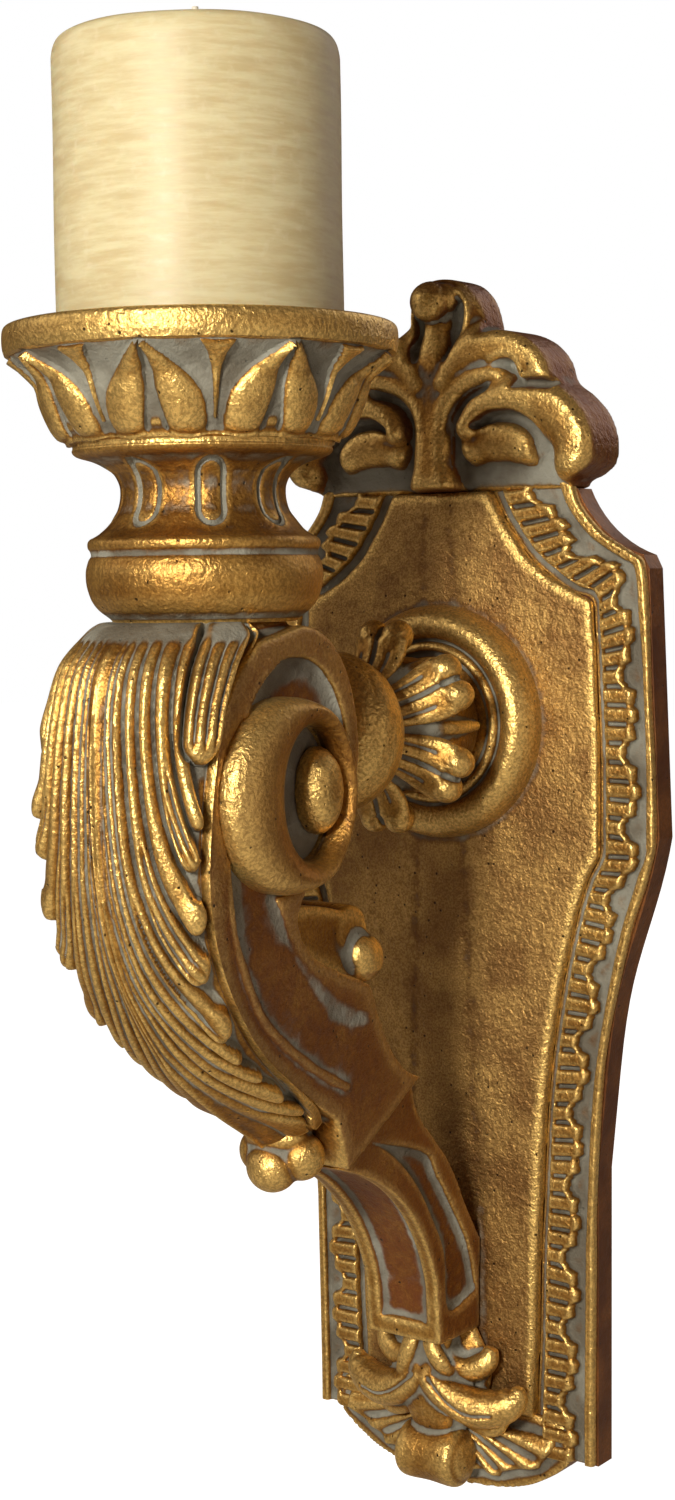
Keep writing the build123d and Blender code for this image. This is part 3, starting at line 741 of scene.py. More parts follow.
# how far the leaf stands over its ground
def leafRise(run, across):
    passed, out, pitch = leafFlow(run, across)
    arc, thick = leafSet["arc"], leafSet["thick"]
    strong = smooth((run + 3) / 14)
    inner = (np.interp(run, leafInner[:, 0], leafInner[:, 1]) - out) * arc
    ribs = np.abs(np.cos(np.pi * passed)) ** 0.75 - 0.45
    for number, (_, _, count, _) in enumerate(leafRibs, 1):
        if count > 1:
            mine = smooth((0.62 - np.abs(passed - number)) / 0.16) * smooth((pitch - 4.2) / 1.6)
            small = np.abs(np.sin(np.pi * count * (passed - number + 0.5))) ** 0.75 - 0.45
            ribs = ribs * (1 - mine) + 0.8 * small * mine
    ribs = leafSet["rib"] * ribs * strong * np.clip(pitch / 3.2, 0.12, 1)
    lift = dome(np.clip(inner / 3.0, 0, 1)) * (thick + ribs)
    for number, (points, tipRun, count, full) in enumerate(leafRibs, 1):
        line = bend(points, 6)
        back, fore = [np.interp(place, *line.T) for place in (tipRun - 5, tipRun)]
        lean = math.atan2((fore - back) * arc, 5.0)
        past = (run - tipRun) * math.cos(lean) + (out - fore) * arc * math.sin(lean)
        end = leafSet["end"] * (1.25 if count > 1 else 0.85)
        beside = np.abs(passed - number) / (0.56 if count > 1 else 0.47)
        near = 1 - np.hypot(beside, np.maximum(past + end, 0) / end)
        tip = smooth((past + 13) / 9)
        body = dome(np.clip(near * 2.2, 0, 1))
        calm = 1 - (0.75 if count == 1 else 0.25) * tip
        crown = thick + ribs * calm + full * tip * dome(np.clip(near * 1.15, 0, 1))
        lift = np.maximum(lift, body * crown * (near > 0))
    middle = np.interp(run, *np.array(broadLobe).T)
    beside = (out - middle) * arc
    near = 1 - np.hypot(beside / 6.4, np.maximum(run - 29.0, 0) / 6.2)
    four = np.abs(np.sin(np.pi * 2 * (beside / 6.4 + 1))) ** 0.75 - 0.45
    top = thick + 0.3 + leafSet["rib"] * 0.8 * four * strong * smooth((33 - run) / 6)
    top = top + 0.7 * smooth((run - 18) / 10) * dome(np.clip(near, 0, 1))
    broad = dome(np.clip(near * 2.6, 0, 1)) * top
    groove = smooth(1 - np.abs(near) / 0.2) * (run < 34) * (out < middle)
    lift = np.where(near > 0, broad, lift * (1 - 0.85 * groove))
    # the furrow above each lobe cuts deeper the nearer it comes to the edge
    for number, share in ((1.5, 0.8), (2.5, 1.0), (3.5, 0.8), (4.5, 1.0), (6.5, 0.8), (8.5, 0.8)):
        furrow = np.exp(-((passed - number) * pitch / 0.9) ** 2)
        furrow = furrow * (out < middle + 0.3) * smooth((run - 6) / 30)
        lift = lift - share * 1.3 * furrow * np.clip(pitch / 3.2, 0, 1) * (near <= 0) * (lift > 1.0)
    midrib = np.exp(-(out * arc / 1.5) ** 2)
    lift = lift + strong * 1.1 * midrib
    return lift - thick * 0.8


def leafShape(u, v):
    across = (u - 0.5) * 2.3
    run = leafStations[0, 0] + v * (leafStations[-1, 0] - leafStations[0, 0])
    point = leafPlace(run, across)
    alongA, alongB = leafPlace(run - 0.4, across), leafPlace(run + 0.4, across)
    acrossA, acrossB = leafPlace(run, across - 0.01), leafPlace(run, across + 0.01)
    normal = np.cross(acrossB - acrossA, alongB - alongA)
    normal /= np.maximum(np.linalg.norm(normal, axis=1), 1e-6)[:, None]
    normal *= np.sign(np.where(np.abs(normal[:, 1:2]) > 1e-3, -normal[:, 1:2], 1))
    rise = leafRise(run, across)
    fade = smooth((1 - np.abs(across)) / 0.06) * smooth((run + 11) / 6)
    point = point + normal * (rise * fade)[:, None]
    under = np.clip((np.abs(across) - 1) / 0.15, 0, 1)
    point[:, 0] *= 1 - under
    point[:, 1] += 5 * np.sin(under * math.pi / 2)
    point[:, 2] += 3 * np.sin(under * math.pi / 2) * smooth((run - 60) / 40)
    return point[:, 0], point[:, 1], point[:, 2]


leafPiece = skin("acanthusLeaf", leafSet["uSteps"], leafSet["vSteps"], leafShape)
knob = joined("knobs", [ball((0, -99.5, -121.0), (7.8, 7.0, 7.4)),
                        ball((6.9, -95.0, -118.0), (6.9, 6.8, 7.0)),
                        ball((-6.9, -95.0, -118.0), (6.9, 6.8, 7.0)), ball((0, -97, -112.5), (10.5, 7, 6)),
                        ball((0, -94, -106), (12, 7, 8))])
remeshed(knob, 0.6, 8)
leafPiece = joined("acanthusLeaf", [leafPiece, knob])


def leafWash(points, normals):
    top = smooth((points[:, 2] - 26.5) / 4) * 1.5
    low = smooth((-60 - points[:, 2]) / 40) * 0.10
    return top + low + 0.04


shadeSmooth(leafPiece, 60)
finishPiece(leafPiece, "sconce", ["acanthus_leaf"], fine=5, broad=50, wash=leafWash)


# arm, volute, small scroll and leg
armFront = [(-125.5, 22.8), (-134, 18.5), (-139.4, 11.5), (-143.7, 3.9), (-145.8, -6.4), (-147, -19.4),
            (-147.7, -38.8), (-143.7, -51.3), (-138, -62), (-130.4, -72.4), (-118, -82.2), (-103.2, -91.3),
            (-90.5, -97.6)]


armSet = {"voxel": 0.8, "rounds": 9, "ridgeWide": 1.3, "ridgeHigh": 0.8}


# red-brown on faces turned sideways: partly bole showing through the gold, partly painted shade for sides
# that turn away from the light
def sideBoleAndShade(points, normals):
    return 0.62 * smooth((np.abs(normals[:, 0]) - 0.55) / 0.3)


arm = cadCopy("scrollArm", "scroll_arm")
remeshed(arm, armSet["voxel"], armSet["rounds"])
armPoints = readPoints(arm.data)
sideways = np.abs(readNormals(arm.data)[:, 0]) > 0.5
ridge = nearPath(armPoints[:, 1], armPoints[:, 2], armFront,
                 [armSet["ridgeWide"]] * len(armFront))
armPoints[:, 0] += np.sign(armPoints[:, 0]) * armSet["ridgeHigh"] * smooth(ridge * 1.3) * sideways
writePoints(arm.data, armPoints)


def armWash(points, normals):
    fillet = nearPath(points[:, 1], points[:, 2], [(-130.4, -39.5), (-126.5, -44.8), (-119.7, -54),
                                                   (-110.5, -63.7), (-102.7, -70.6), (-99.3, -74),
                                                   (-91, -77.5), (-81.2, -79.1)],
                      [2, 2.5, 3, 3, 3.5, 4.5, 4, 3])
    field = nearPath(points[:, 1], points[:, 2], [(-112, 22), (-128, 17), (-141, 4), (-145, -20),
                                                  (-143, -46)],
                     [4, 4.5, 4, 3.5, 3])
    side = np.abs(normals[:, 0]) > 0.5
    eye = smooth((1 - np.hypot((points[:, 1] + 117.5) / 13, (points[:, 2] + 12.5) / 19)) * 6 + 0.5)
    return (0.65 * smooth(fillet * 1.5) + 0.45 * smooth(field * 1.4) + 1.7 * eye + 0.12) * side


# the arm's side faces take red-brown bole with painted shade
finishPiece(arm, "sconce", ["scroll_arm"], wash=armWash, boleAndShade=sideBoleAndShade)

volute = {"y": -126.5, "z": -12.5, "radius": 26.0, "eyeY": -117.5, "eyeZ": -12.5, "eyeWide": 12.0,
          "eyeTall": 18.0, "floor": 24.8, "peak": 35.6, "uSteps": 220, "vSteps": 60,
          "buttonPlace": (27, -112.0, -12.2), "buttonSize": (7.6, 7.4, 12.0), "buttonFoot": 24.9,
          "buttonTop": 33.0}


def voluteShape(u, v):
    angle = u * 2 * math.pi
    outY = volute["y"] + volute["radius"] * np.cos(angle)
    outZ = volute["z"] + volute["radius"] * np.sin(angle)
    inY = volute["eyeY"] + volute["eyeWide"] * np.cos(angle)
    inZ = volute["eyeZ"] + volute["eyeTall"] * np.sin(angle)
    across = np.interp(v, [0, 0.84, 1.0], [0, 1, 0])
    face = v <= 0.84
    t = np.interp(v, [0, 0.06, 0.76, 0.84, 1], [0, 0.0, 1.0, 1.0, 0])
    band = np.hypot(outY - inY, outZ - inZ)
    peak = volute["peak"] - 3.0 * smooth((9 - band) / 7)
    arch = 0.35 + 0.65 * np.sin(np.pi * np.clip(t, 0, 1) ** 0.85) ** 0.62
    rise = np.where(v < 0.06, v / 0.06 * 0.35, arch)
    rise = np.where(v > 0.76, np.interp(v, [0.76, 0.84], [0.35, 0.1]), rise)
    height = np.where(face, volute["floor"] + (peak - volute["floor"]) * rise, volute["floor"] - 0.3)
    spread = np.where(face, t, across)
    return height, outY + (inY - outY) * spread, outZ + (inZ - outZ) * spread


for side, word in ((1, "right"), (-1, "left")):
    ring = skin(word + "VoluteRing", volute["uSteps"], volute["vSteps"], voluteShape)
    button = ball(volute["buttonPlace"], volute["buttonSize"])
    points = readPoints(button.data)
    points[:, 0] = np.maximum(points[:, 0], volute["buttonFoot"])
    past = points[:, 0] - volute["buttonTop"]
    points[:, 0] = np.where(past > 0, volute["buttonTop"] + past * 0.45, points[:, 0])
    writePoints(button.data, points)
    remeshed(button, 0.6, 2)
    button.name = word + "EyeButton"
    for piece, node, deep in ((ring, "_volute_ring", 0.25), (button, "_eye_button", 0.0)):
        if side < 0:
            bm = bmesh.new()
            bm.from_mesh(piece.data)
            bmesh.ops.scale(bm, verts=bm.verts, vec=(-1, 1, 1))
            bmesh.ops.recalc_face_normals(bm, faces=bm.faces)
            bm.to_mesh(piece.data)
            bm.free()
        shadeSmooth(piece, 60)
        # the ring's side faces take a little red-brown: bole with painted shade
        finishPiece(piece, "sconce", [word + node],
                    wash=lambda p, n: 1.3 * smooth((29 - np.abs(p[:, 0])) / 3),
                    boleAndShade=lambda p, n, d=deep: d * smooth(np.abs(n[:, 0])))

smallScroll = joined("smallScroll", [
    cadCopy("smallScroll", "back_scroll"),
    rope([(-19.5, -86, -54), (-17.5, -86, -54), (0, -86, -54), (17.5, -86, -54), (19.5, -86, -54)],
         [5.4, 7.2, 7.2, 7.2, 5.4], 1.0, sides=32),
    ball((19.6, -81.0, -62.5), (4.6, 6.8, 6.8)), ball((-19.6, -81.0, -62.5), (4.6, 6.8, 6.8))])
remeshed(smallScroll, 0.7, 4)


def scrollWash(points, normals):
    balls = smooth((np.abs(points[:, 0]) - 17.8) / 1.5)
    balls *= smooth((8.5 - np.hypot(points[:, 1] + 83, points[:, 2] + 61)) / 2)
    ends = smooth((np.abs(points[:, 0]) - 19.4) / 1.0)
    ends *= smooth((8 - np.hypot(points[:, 1] + 81.0, points[:, 2] + 62.5)) / 2)
    return np.maximum(0.9 * balls, 1.3 * ends)


# the small scroll's lower side faces take the same red-brown bole with painted shade
finishPiece(smallScroll, "sconce", ["back_scroll"], wash=scrollWash,
            boleAndShade=lambda p, n: sideBoleAndShade(p, n) * (p[:, 2] < -66))

legSide = [(-81, -115), (-69, -120), (-59, -126.5), (-49, -136), (-40, -149), (-34, -161), (-31.5, -179),
           (-17, -177), (-16, -172), (-20, -160), (-26, -150), (-37, -135), (-46, -125)]
legSet = {"voxel": 0.6, "sink": 2.0, "frame": 4.6, "panelTop": -127, "panelFoot": -183.0}
legCopy = cadCopy("panelledLeg", "leg")
remeshed(legCopy, legSet["voxel"], 2)
legPoints, legNormals = readPoints(legCopy.data), readNormals(legCopy.data)
legPanel = insideBy(legPoints[:, 1], legPoints[:, 2], bend(legSide + legSide[:1], 4)[:-1])
onSide = smooth((np.abs(legNormals[:, 0]) - 0.6) / 0.2)
legHalf = np.interp(legPoints[:, 2], [-188, -140, -100], [13.5, 14.5, 16.0])
frontPanel = np.minimum(legHalf - legSet["frame"] - np.abs(legPoints[:, 0]),
                        np.minimum(legPoints[:, 2] - legSet["panelFoot"],
                                   legSet["panelTop"] - legPoints[:, 2]))
onFront = smooth((-legNormals[:, 1] - 0.35) / 0.2) * (1 - onSide)
legPoints[:, 0] -= np.sign(legPoints[:, 0]) * legSet["sink"] * smooth(legPanel / 1.6) * onSide
legPoints += -legNormals * (legSet["sink"] * smooth(frontPanel / 1.6) * onFront)[:, None]
writePoints(legCopy.data, legPoints)
remeshed(legCopy, legSet["voxel"], 1)


def legWash(points, normals):
    panel = insideBy(points[:, 1], points[:, 2], bend(legSide + legSide[:1], 4)[:-1])
    side = np.abs(normals[:, 0]) > 0.5
    edge = smooth(1 - np.abs(panel - 1.6) / 2.2) * side
    return 0.30 * edge + 0.14 * smooth(panel / 2) * side


# red-brown bole on the leg's sunk front panel, with the red-brown bole and painted shade of the side faces
def legBoleAndSideShade(points, normals):
    middle = smooth((9.5 - np.abs(points[:, 0])) / 1.5) * smooth((points[:, 2] + 182) / 2)
    middle = middle * (normals[:, 1] < -0.3)
    return np.maximum(sideBoleAndShade(points, normals), 0.75 * middle)


finishPiece(legCopy, "sconce", ["leg"], wash=legWash, boleAndShade=legBoleAndSideShade, broad=24)
print("arm and leg made")


# panel, borders, crest and shell on the board
panelHalf = [(17.5, 70), (22, 61.5), (30, 50.5), (38, 44), (52.4, 36.5), (52.9, 28), (53.8, 8), (54.5, -12),
             (54.4, -30), (54.2, -39), (50, -46.6), (46.5, -57), (41.8, -76), (37.8, -99), (35.5, -120),
             (34.1, -144), (33, -164), (32.2, -190), (31, -214)]
panelOutline = panelHalf + [(-x, z) for x, z in reversed(panelHalf)]
panelSet = {"front": 14.0, "slope": 0.058, "edge": 1.4, "stripTop": 4.5, "stripFoot": 15.0}


# a soft strip down the middle, then a slope to each side and a rounded edge
def panelDepth(x, z):
    strip = np.interp(z, [-214, 70], [panelSet["stripFoot"], panelSet["stripTop"]])
    past = np.maximum(np.abs(x) - strip, 0)
    fall = np.minimum(past * panelSet["slope"], 2.8)
    ease = 0.35 * np.exp(-((np.abs(x) - strip) / 2.5) ** 2)
    inset = insideBy(x, z, panelOutline)
    return panelSet["front"] - fall - ease - 0.9 * (1 - smooth((inset + 0.2) / panelSet["edge"]))


panel = carved("stippledPanel", panelOutline, 8.0, 13.4, panelDepth, voxel=1.0, rounds=1)


def panelWash(points, normals):
    toBoss = np.hypot(points[:, 0], points[:, 2]) - 36.5
    round_ = 0.5 * smooth(1 - np.abs(toBoss) / 2.2)
    edge = 0.25 * smooth(1 - insideBy(points[:, 0], points[:, 2], panelOutline) / 1.5)
    foot = 0.4 * smooth(1 - np.abs(np.abs(points[:, 0]) - 14.5) / 3)
    foot = foot * (points[:, 2] < -150) * (points[:, 2] > -200)
    return round_ + edge + foot


finishPiece(panel, "sconce", ["centre_panel"], material=panelGilt, wash=panelWash, fine=3, broad=14)

borderStations = np.array([
    (17.5, 70, 46.0, 72), (22, 61.5, 48.8, 65), (30, 50.5, 55.4, 57.4), (38, 44, 61.4, 53.4),
    (45, 39.5, 66, 50.8), (51.8, 37.0, 69.7, 47.5), (52.9, 28, 71.0, 34), (53.8, 8, 71.8, 8),
    (54.5, -12, 72.8, -12), (54.4, -30, 73.2, -31.5), (54.0, -39, 72.2, -38.5), (50, -46.6, 69.6, -47.5),
    (46.5, -57, 65.4, -59.5), (41.8, -76, 60.4, -78), (37.8, -99, 56.2, -98), (35.5, -120, 54.2, -118),
    (34.1, -144, 52.6, -143), (33, -164, 52.3, -165), (32.2, -190, 52.0, -190), (31, -214, 51.8, -214),
    (31, -225.5, 51.8, -225.5)])
border = {"pitch": 5.6, "scallop": 4, "ground": 9.0, "top": 12.3, "floor": 8.05, "bead": 11.0,
          "uSteps": 820, "vSteps": 66}
borderEnds = [10.2, 14.0, 15.0, 13.4]  # how far out each bar of a scallop reaches


def borderShape(u, v):
    line = bend(borderStations, 10)
    centre = (line[:, :2] + line[:, 2:]) / 2
    run = np.concatenate([[0], np.cumsum(np.hypot(*np.diff(centre, axis=0).T))])
    along = u * run[-1]
    inX, inZ, outX, outZ = [np.interp(along, run, line[:, k]) for k in range(4)]
    across = np.interp(v, [0, 0.012, 0.90, 0.915, 1], [0, 0, 1, 1, 0])
    width = np.hypot(outX - inX, outZ - inZ)
    q = across * width * (20 / np.maximum(width, 19))
    bar = along / border["pitch"]
    number = np.floor(bar)
    within = np.abs(bar - number - 0.5) * 2  # 0 on the bar, 1 in the groove
    slot = (number % border["scallop"]).astype(int)
    here = np.array(borderEnds)[slot]
    left, right = np.array(borderEnds)[(slot - 1) % 4], np.array(borderEnds)[(slot + 1) % 4]
    beside = np.where(bar - number < 0.5, left, right)
    end = here + (beside - here) * 0.5 * smooth((within - 0.45) / 0.55)
    end = end - 0.9 * within ** 3 + 0.3 * np.sin(along * 0.37)
    onBar = smooth((q - 2.6) / 1.0) * dome(np.clip((end - q) / 1.7, 0, 1))
    groove = smooth((within - 0.64) / 0.26) * smooth((end - 2.2 - q) / 0.9) * smooth((q - 3.6) / 0.8)
    crown = 1 - 0.16 * within ** 2
    depth = border["ground"] - 0.5 * smooth(1 - np.abs(q - 1.5) / 1.6)
    depth = depth + (border["top"] - border["ground"]) * onBar * crown * (1 - 0.80 * groove)
    bead = smooth((q - 16.4) / 0.8) * (1 - 0.5 * smooth((q - 19.1) / 1.0))
    depth = np.maximum(depth, border["ground"] + (border["bead"] - border["ground"]) * bead)
    depth = np.where((v < 0.006) | (v > 0.905), border["floor"], depth)
    return inX + (outX - inX) * across, -depth, inZ + (outZ - inZ) * across


def borderWash(points, normals):
    x, z = np.abs(points[:, 0]), points[:, 2]
    low = smooth((border["ground"] + 0.9 + points[:, 1]) / 0.9)
    return 0.62 * low * (normals[:, 1] < -0.2)


def mirrored(piece, name):
    bm = bmesh.new()
    bm.from_mesh(piece.data)
    bmesh.ops.scale(bm, verts=bm.verts, vec=(-1, 1, 1))
    bmesh.ops.recalc_face_normals(bm, faces=bm.faces)
    made = newPiece(name, bm)
    shadeSmooth(made, 60)
    return made


rightBorder = skin("rightBorder", border["uSteps"], border["vSteps"], borderShape)
soften(rightBorder, 2)
shadeSmooth(rightBorder, 60)
leftBorder = mirrored(rightBorder, "leftBorder")
finishPiece(rightBorder, "sconce", ["right_border"], fine=3, broad=24, wash=borderWash)
finishPiece(leftBorder, "sconce", ["left_border"], fine=3, broad=24, wash=borderWash)

crestHalf = bend([(0, 134.8), (5, 134.3), (10, 132.3), (14, 128), (16.3, 122), (17.5, 117.4), (24, 117.6),
                  (31, 116), (37, 112.5), (41, 107.5), (43.2, 101.5), (48.5, 97.5), (53.5, 92), (56.3, 85),
                  (56, 78), (52, 74), (47.5, 72.3), (46, 70)], 4)


# the finial leans to one side, so its hood is narrower there
def crestLean(z):
    return 1 - 0.40 * smooth((z - 112) / 8)


def crestSide(x, z):
    return np.where(x < 0, -x / crestLean(z), x)


crestLeft = [(-x * float(crestLean(z)), z) for x, z in crestHalf[::-1][:-1]]
crestOutline = [tuple(p) for p in crestHalf] + crestLeft
crestWhole = [tuple(p) for p in crestHalf] + [(-x, z) for x, z in crestHalf[::-1][:-1]]
# path, half widths and the height of each stroke's crown from the wall
crestRaised = [
    ([(5, 103), (10, 109), (18, 113), (28, 113), (36, 109), (39.5, 104), (40.5, 100.5)],
     [5, 7, 8.6, 9.4, 8.6, 6.6, 4.6], 19.0),
    ([(13, 89), (19, 94.5), (29, 97), (40, 95.5), (48, 89.5), (50.5, 83), (49.5, 77)],
     [4.5, 6.6, 8.6, 9.6, 9.6, 8.6, 7], 20.0),
    ([(14, 83), (19, 85.5), (27, 85), (33, 82.5)], [5.5, 7.2, 7.0, 5.5], 17.0),
]
crestRidges = [
    ([(3.6, 73), (2.6, 80), (2.6, 88), (4.5, 96), (10, 102), (18, 104.6), (24, 104), (26.5, 100.5)],
     [3.2, 3.6, 3.8, 4.2, 4.4, 4.0, 3.6, 2.2], 18.5),
    ([(8.5, 131), (12.2, 127), (12.2, 120), (9, 112), (5.5, 104)], [1.2, 1.5, 1.6, 1.5, 1.0], 16.5),
    ([(3.4, 122), (4.2, 114), (5, 106)], [1.2, 1.3, 1], 16.0),
    ([(22, 108.8), (27, 110.2), (31.5, 108), (33, 103.5)], [1.0, 1.4, 1.5, 1.0], 19.2),
]
crestSunk = [
    ([(20.5, 101), (13, 98.5), (8.2, 93.5), (6.8, 87), (7.6, 80), (11.5, 75)],
     [1.6, 2.4, 2.8, 3.0, 3.4, 3.4], 10.6),
    ([(16, 89.3), (22, 91.8), (30, 91.2), (35.5, 87.5), (37.6, 82), (37, 77)],
     [1.3, 2.0, 2.4, 2.5, 2.4, 2.2], 12.6),
    ([(24, 107.0), (28, 106.8), (30.8, 104.2), (31.5, 101.5)], [1.4, 2.2, 2.2, 1.8], 12.4),
    ([(7.6, 128.5), (8.6, 123.5), (7.6, 117), (5.6, 110)], [1.6, 3.1, 2.6, 1.0], 11.0),
    ([(42.6, 100.4), (35, 101), (30.5, 100.6)], [1.8, 1.5, 1.0], 13.0),
]


crestSet = {"ground": 11.0, "hood": 3.2, "foot": 9.0, "voxel": 0.72}


def crestDepth(x, z):
    side, ground = crestSide(x, z), crestSet["ground"]
    depth = np.full(len(x), ground)
    inset = insideBy(side, z, crestWhole)
    for path, sizes, top in crestRaised:
        near = nearPath(side, z, path, sizes)
        depth = np.maximum(depth, ground + (top - ground) * dome(near * 1.15) ** 0.9)
    hood = smooth((z - 116.5) / 4) * smooth((17 - side) / 3)
    depth = np.maximum(depth, ground + crestSet["hood"] * hood)
    for path, sizes, floor in crestSunk:
        near = smooth(nearPath(side, z, path, sizes) * 2.2)
        depth = depth * (1 - near) + np.minimum(depth, floor) * near
    for path, sizes, top in crestRidges:
        near = nearPath(side, z, path, sizes)
        depth = np.maximum(depth, ground + (top - ground) * dome(near * 1.3))
    stem = np.interp(z, [70, 78, 96, 122], [8.5, 6.4, 5.8, 4.2])
    shaft = dome(np.clip((stem + 1.2 - side) / 4.4, 0, 1)) * smooth((124 - z) / 3)
    depth = np.maximum(depth, ground + np.interp(z, [70, 90, 124], [8.4, 7.4, 6.0]) * shaft)
    step = smooth((z - 69.6) / 1.6)
    rounding = 1 - smooth(inset / 2.2)
    return (depth - 1.7 * rounding) * step + crestSet["foot"] * (1 - step)


crest = carved("carvedCrest", crestOutline, 0.0, 12.5, crestDepth, voxel=crestSet["voxel"], rounds=1)
crest = joined("carvedCrest", [crest, ball((0.3, -16.5, 127.6), (6.6, 6.2, 6.2)),
                               ball((4.5, -14.5, 128.5), (4.2, 3.6, 4.6)),
                               ball((-4.0, -14.5, 128.5), (4.2, 3.6, 4.6))])
remeshed(crest, 0.7, 2)


def crestWash(points, normals):
    side, z = crestSide(points[:, 0], points[:, 2]), points[:, 2]
    total = 1.8 * smooth((76.0 - z) / 3) * (side > 7)
    for path, sizes, floor in crestSunk:
        total = np.maximum(total, smooth(nearPath(side, z, path, np.asarray(sizes) * 0.95) * 2.6))
    low = smooth((12.4 + points[:, 1]) / 1.4)
    front = normals[:, 1] < -0.3
    return (0.8 * total + 0.35 * low) * front


# faces that turn from the room toward the sides and the wall go red-brown: partly bole, partly painted shade
def wallBoleAndShade(points, normals):
    return 0.85 * smooth((0.55 + normals[:, 1]) / 0.4)


finishPiece(crest, "sconce", ["crest"], wash=crestWash, boleAndShade=wallBoleAndShade, fine=6, broad=50)

shellHalf = bend([(0, -240.4), (8, -240.6), (15, -239.9), (22, -238.6), (29, -236.3), (35, -233),
                  (40, -229.5), (43.5, -225.5), (44, -219), (40, -214.5), (31, -213.5)], 4)
shellOutline = [tuple(p) for p in shellHalf] + [(0, -212)] + [(-x, z) for x, z in shellHalf[::-1][:-1]]
shellSet = {"fromZ": -216.0, "flutes": 15.0, "ground": 11.0}


# flutes that fan out from under the roll and end in scallops inside a plain rim
def shellDepth(x, z):
    angle = np.arctan2(x, -(z - shellSet["fromZ"]))
    radius = np.hypot(x * 0.86, z - shellSet["fromZ"])
    phase = angle / math.pi * shellSet["flutes"]
    ridge = np.abs(np.cos(phase * math.pi))
    inset = insideBy(x, z, shellOutline)
    edge = 3.4 + 1.9 * np.abs(np.sin(phase * math.pi / 2 + 0.6))
    on = smooth((inset - edge) / 1.2)
    flute = (3.8 - 0.04 * radius) * (1 - ridge ** 1.6 * 0.75) * np.interp(radius, [6, 22], [1.15, 0.8])
    fan = shellSet["ground"] + 1.2 + flute
    return shellSet["ground"] - 0.8 * (1 - smooth(inset / 1.4)) + (fan - shellSet["ground"]) * on


shell = carved("scallopShell", shellOutline, 0.0, 12.0, shellDepth, voxel=0.6, rounds=1)
finishPiece(shell, "sconce", ["base_shell"], boleAndShade=wallBoleAndShade, fine=6, broad=40,
            wash=lambda p, n: 0.5 * smooth((12.0 + p[:, 1]) / 1.0) * (n[:, 1] < -0.3) * (p[:, 1] < -8))

sprayParts = [
    rope([(-5, -21, -188), (-3, -24, -199), (2, -24.5, -204), (9, -24, -208), (17, -22.5, -210.5),
          (25, -20.5, -209.5), (29.5, -19, -206), (30.5, -18.5, -202.5)],
         [3.2, 3.8, 4.6, 5.6, 6.2, 5.6, 4.2, 1.6], 0.95),
    rope([(3, -20, -190), (7, -20.5, -198), (13, -19.5, -200), (18.5, -18.5, -197), (20, -17.5, -192.5)],
         [2.6, 3.6, 4.2, 3.8, 2.2], 0.95),
    rope([(4, -17, -210), (12, -17, -215), (19, -16, -218), (24, -15, -214)], [4.5, 4.6, 3.6, 2.0], 0.9),
]
sprayParts += [mirrored(part, "half") for part in sprayParts]
sprayParts += [
    rope([(-2.5, -24, -186), (-4.5, -26.5, -194), (-7, -26, -203), (-8, -23, -210)], [2.4, 3.0, 3.0, 1.6],
         0.8),
    rope([(2.5, -24, -186), (3.4, -26.5, -192), (7, -26, -198), (9, -23, -202)], [2.2, 2.8, 2.8, 1.6], 0.8),
    rope([(0, -21, -187), (0, -23, -200), (0, -22.5, -212), (0, -20, -221)], [6.5, 8.5, 9.0, 7.0], 0.5),
    ball((9.4, -19.5, -229.2), (3.4, 7.4, 7.4)), ball((-9.4, -19.5, -229.2), (3.4, 7.4, 7.4)),
    rope([(0, -18, -205), (0, -17, -214), (0, -16.5, -222), (0, -16, -226)], [13, 12, 9, 8], 0.45),
    rope([(-10.6, -19.5, -229.2), (-9, -19.5, -229.2), (0, -19.5, -229.2), (9, -19.5, -229.2),
          (10.6, -19.5, -229.2)],
         [6.4, 9.0, 8.8, 9.0, 6.4], 1.0, sides=32),
    rope([(0, -16, -187), (0, -16, -200), (0, -15.5, -214)], [13, 19, 15], 0.28),
]
spray = remeshed(joined("dropLeaf", sprayParts), 0.6, 3)
sprayPoints, sprayNormals = readPoints(spray.data), readNormals(spray.data)
keep = smooth((sprayPoints[:, 2] + 221.5) / 2.0)
line = nearPath(np.abs(sprayPoints[:, 0]), sprayPoints[:, 2], [(3, -202.5), (10, -208.5), (17, -211.5),
                                                               (24.5, -211)],
                [0.9, 1.1, 1.1, 0.8])
sprayPoints += -sprayNormals * (0.9 * smooth(line * 1.5) * (sprayNormals[:, 1] < -0.2) * keep)[:, None]
writePoints(spray.data, sprayPoints)
finishPiece(spray, "sconce", ["drop_leaf"], fine=6, broad=45,
            wash=lambda p, n: 0.35 * smooth((19 + p[:, 1]) / 3) * (n[:, 1] < 0))
print("plate made")

# boss ring, rosette and bead on the boss axis
ringProfile = np.vstack([[(4.2, 11.0), (4.2, 17.9), (12, 17.9), (20, 17.9)],
                         bend([(21.4, 18.4), (22.2, 19.9), (23.3, 20.3), (24.4, 19.7), (25.1, 18.4),
                               (26.0, 19.4), (27.6, 20.9), (30, 21.7), (32.4, 21.0), (34.4, 18.9),
                               (35.6, 16.0), (36.0, 13.4), (36.3, 11.4)], 5),
                         [(30, 11.0), (16, 11.0)]])
bossRing = turned("bossRing", ringProfile[::-1], 260, outwards=True)


def ringWash(points, normals):
    radius = np.hypot(points[:, 0], points[:, 2])
    return 0.7 * smooth(1 - np.abs(radius - 25.2) / 1.0) + 0.6 * smooth(1 - np.abs(radius - 36.2) / 1.4) \
        + 0.7 * smooth((21.5 - radius) / 1)


finishPiece(bossRing, "sconce", ["boss_ring"], wash=ringWash)

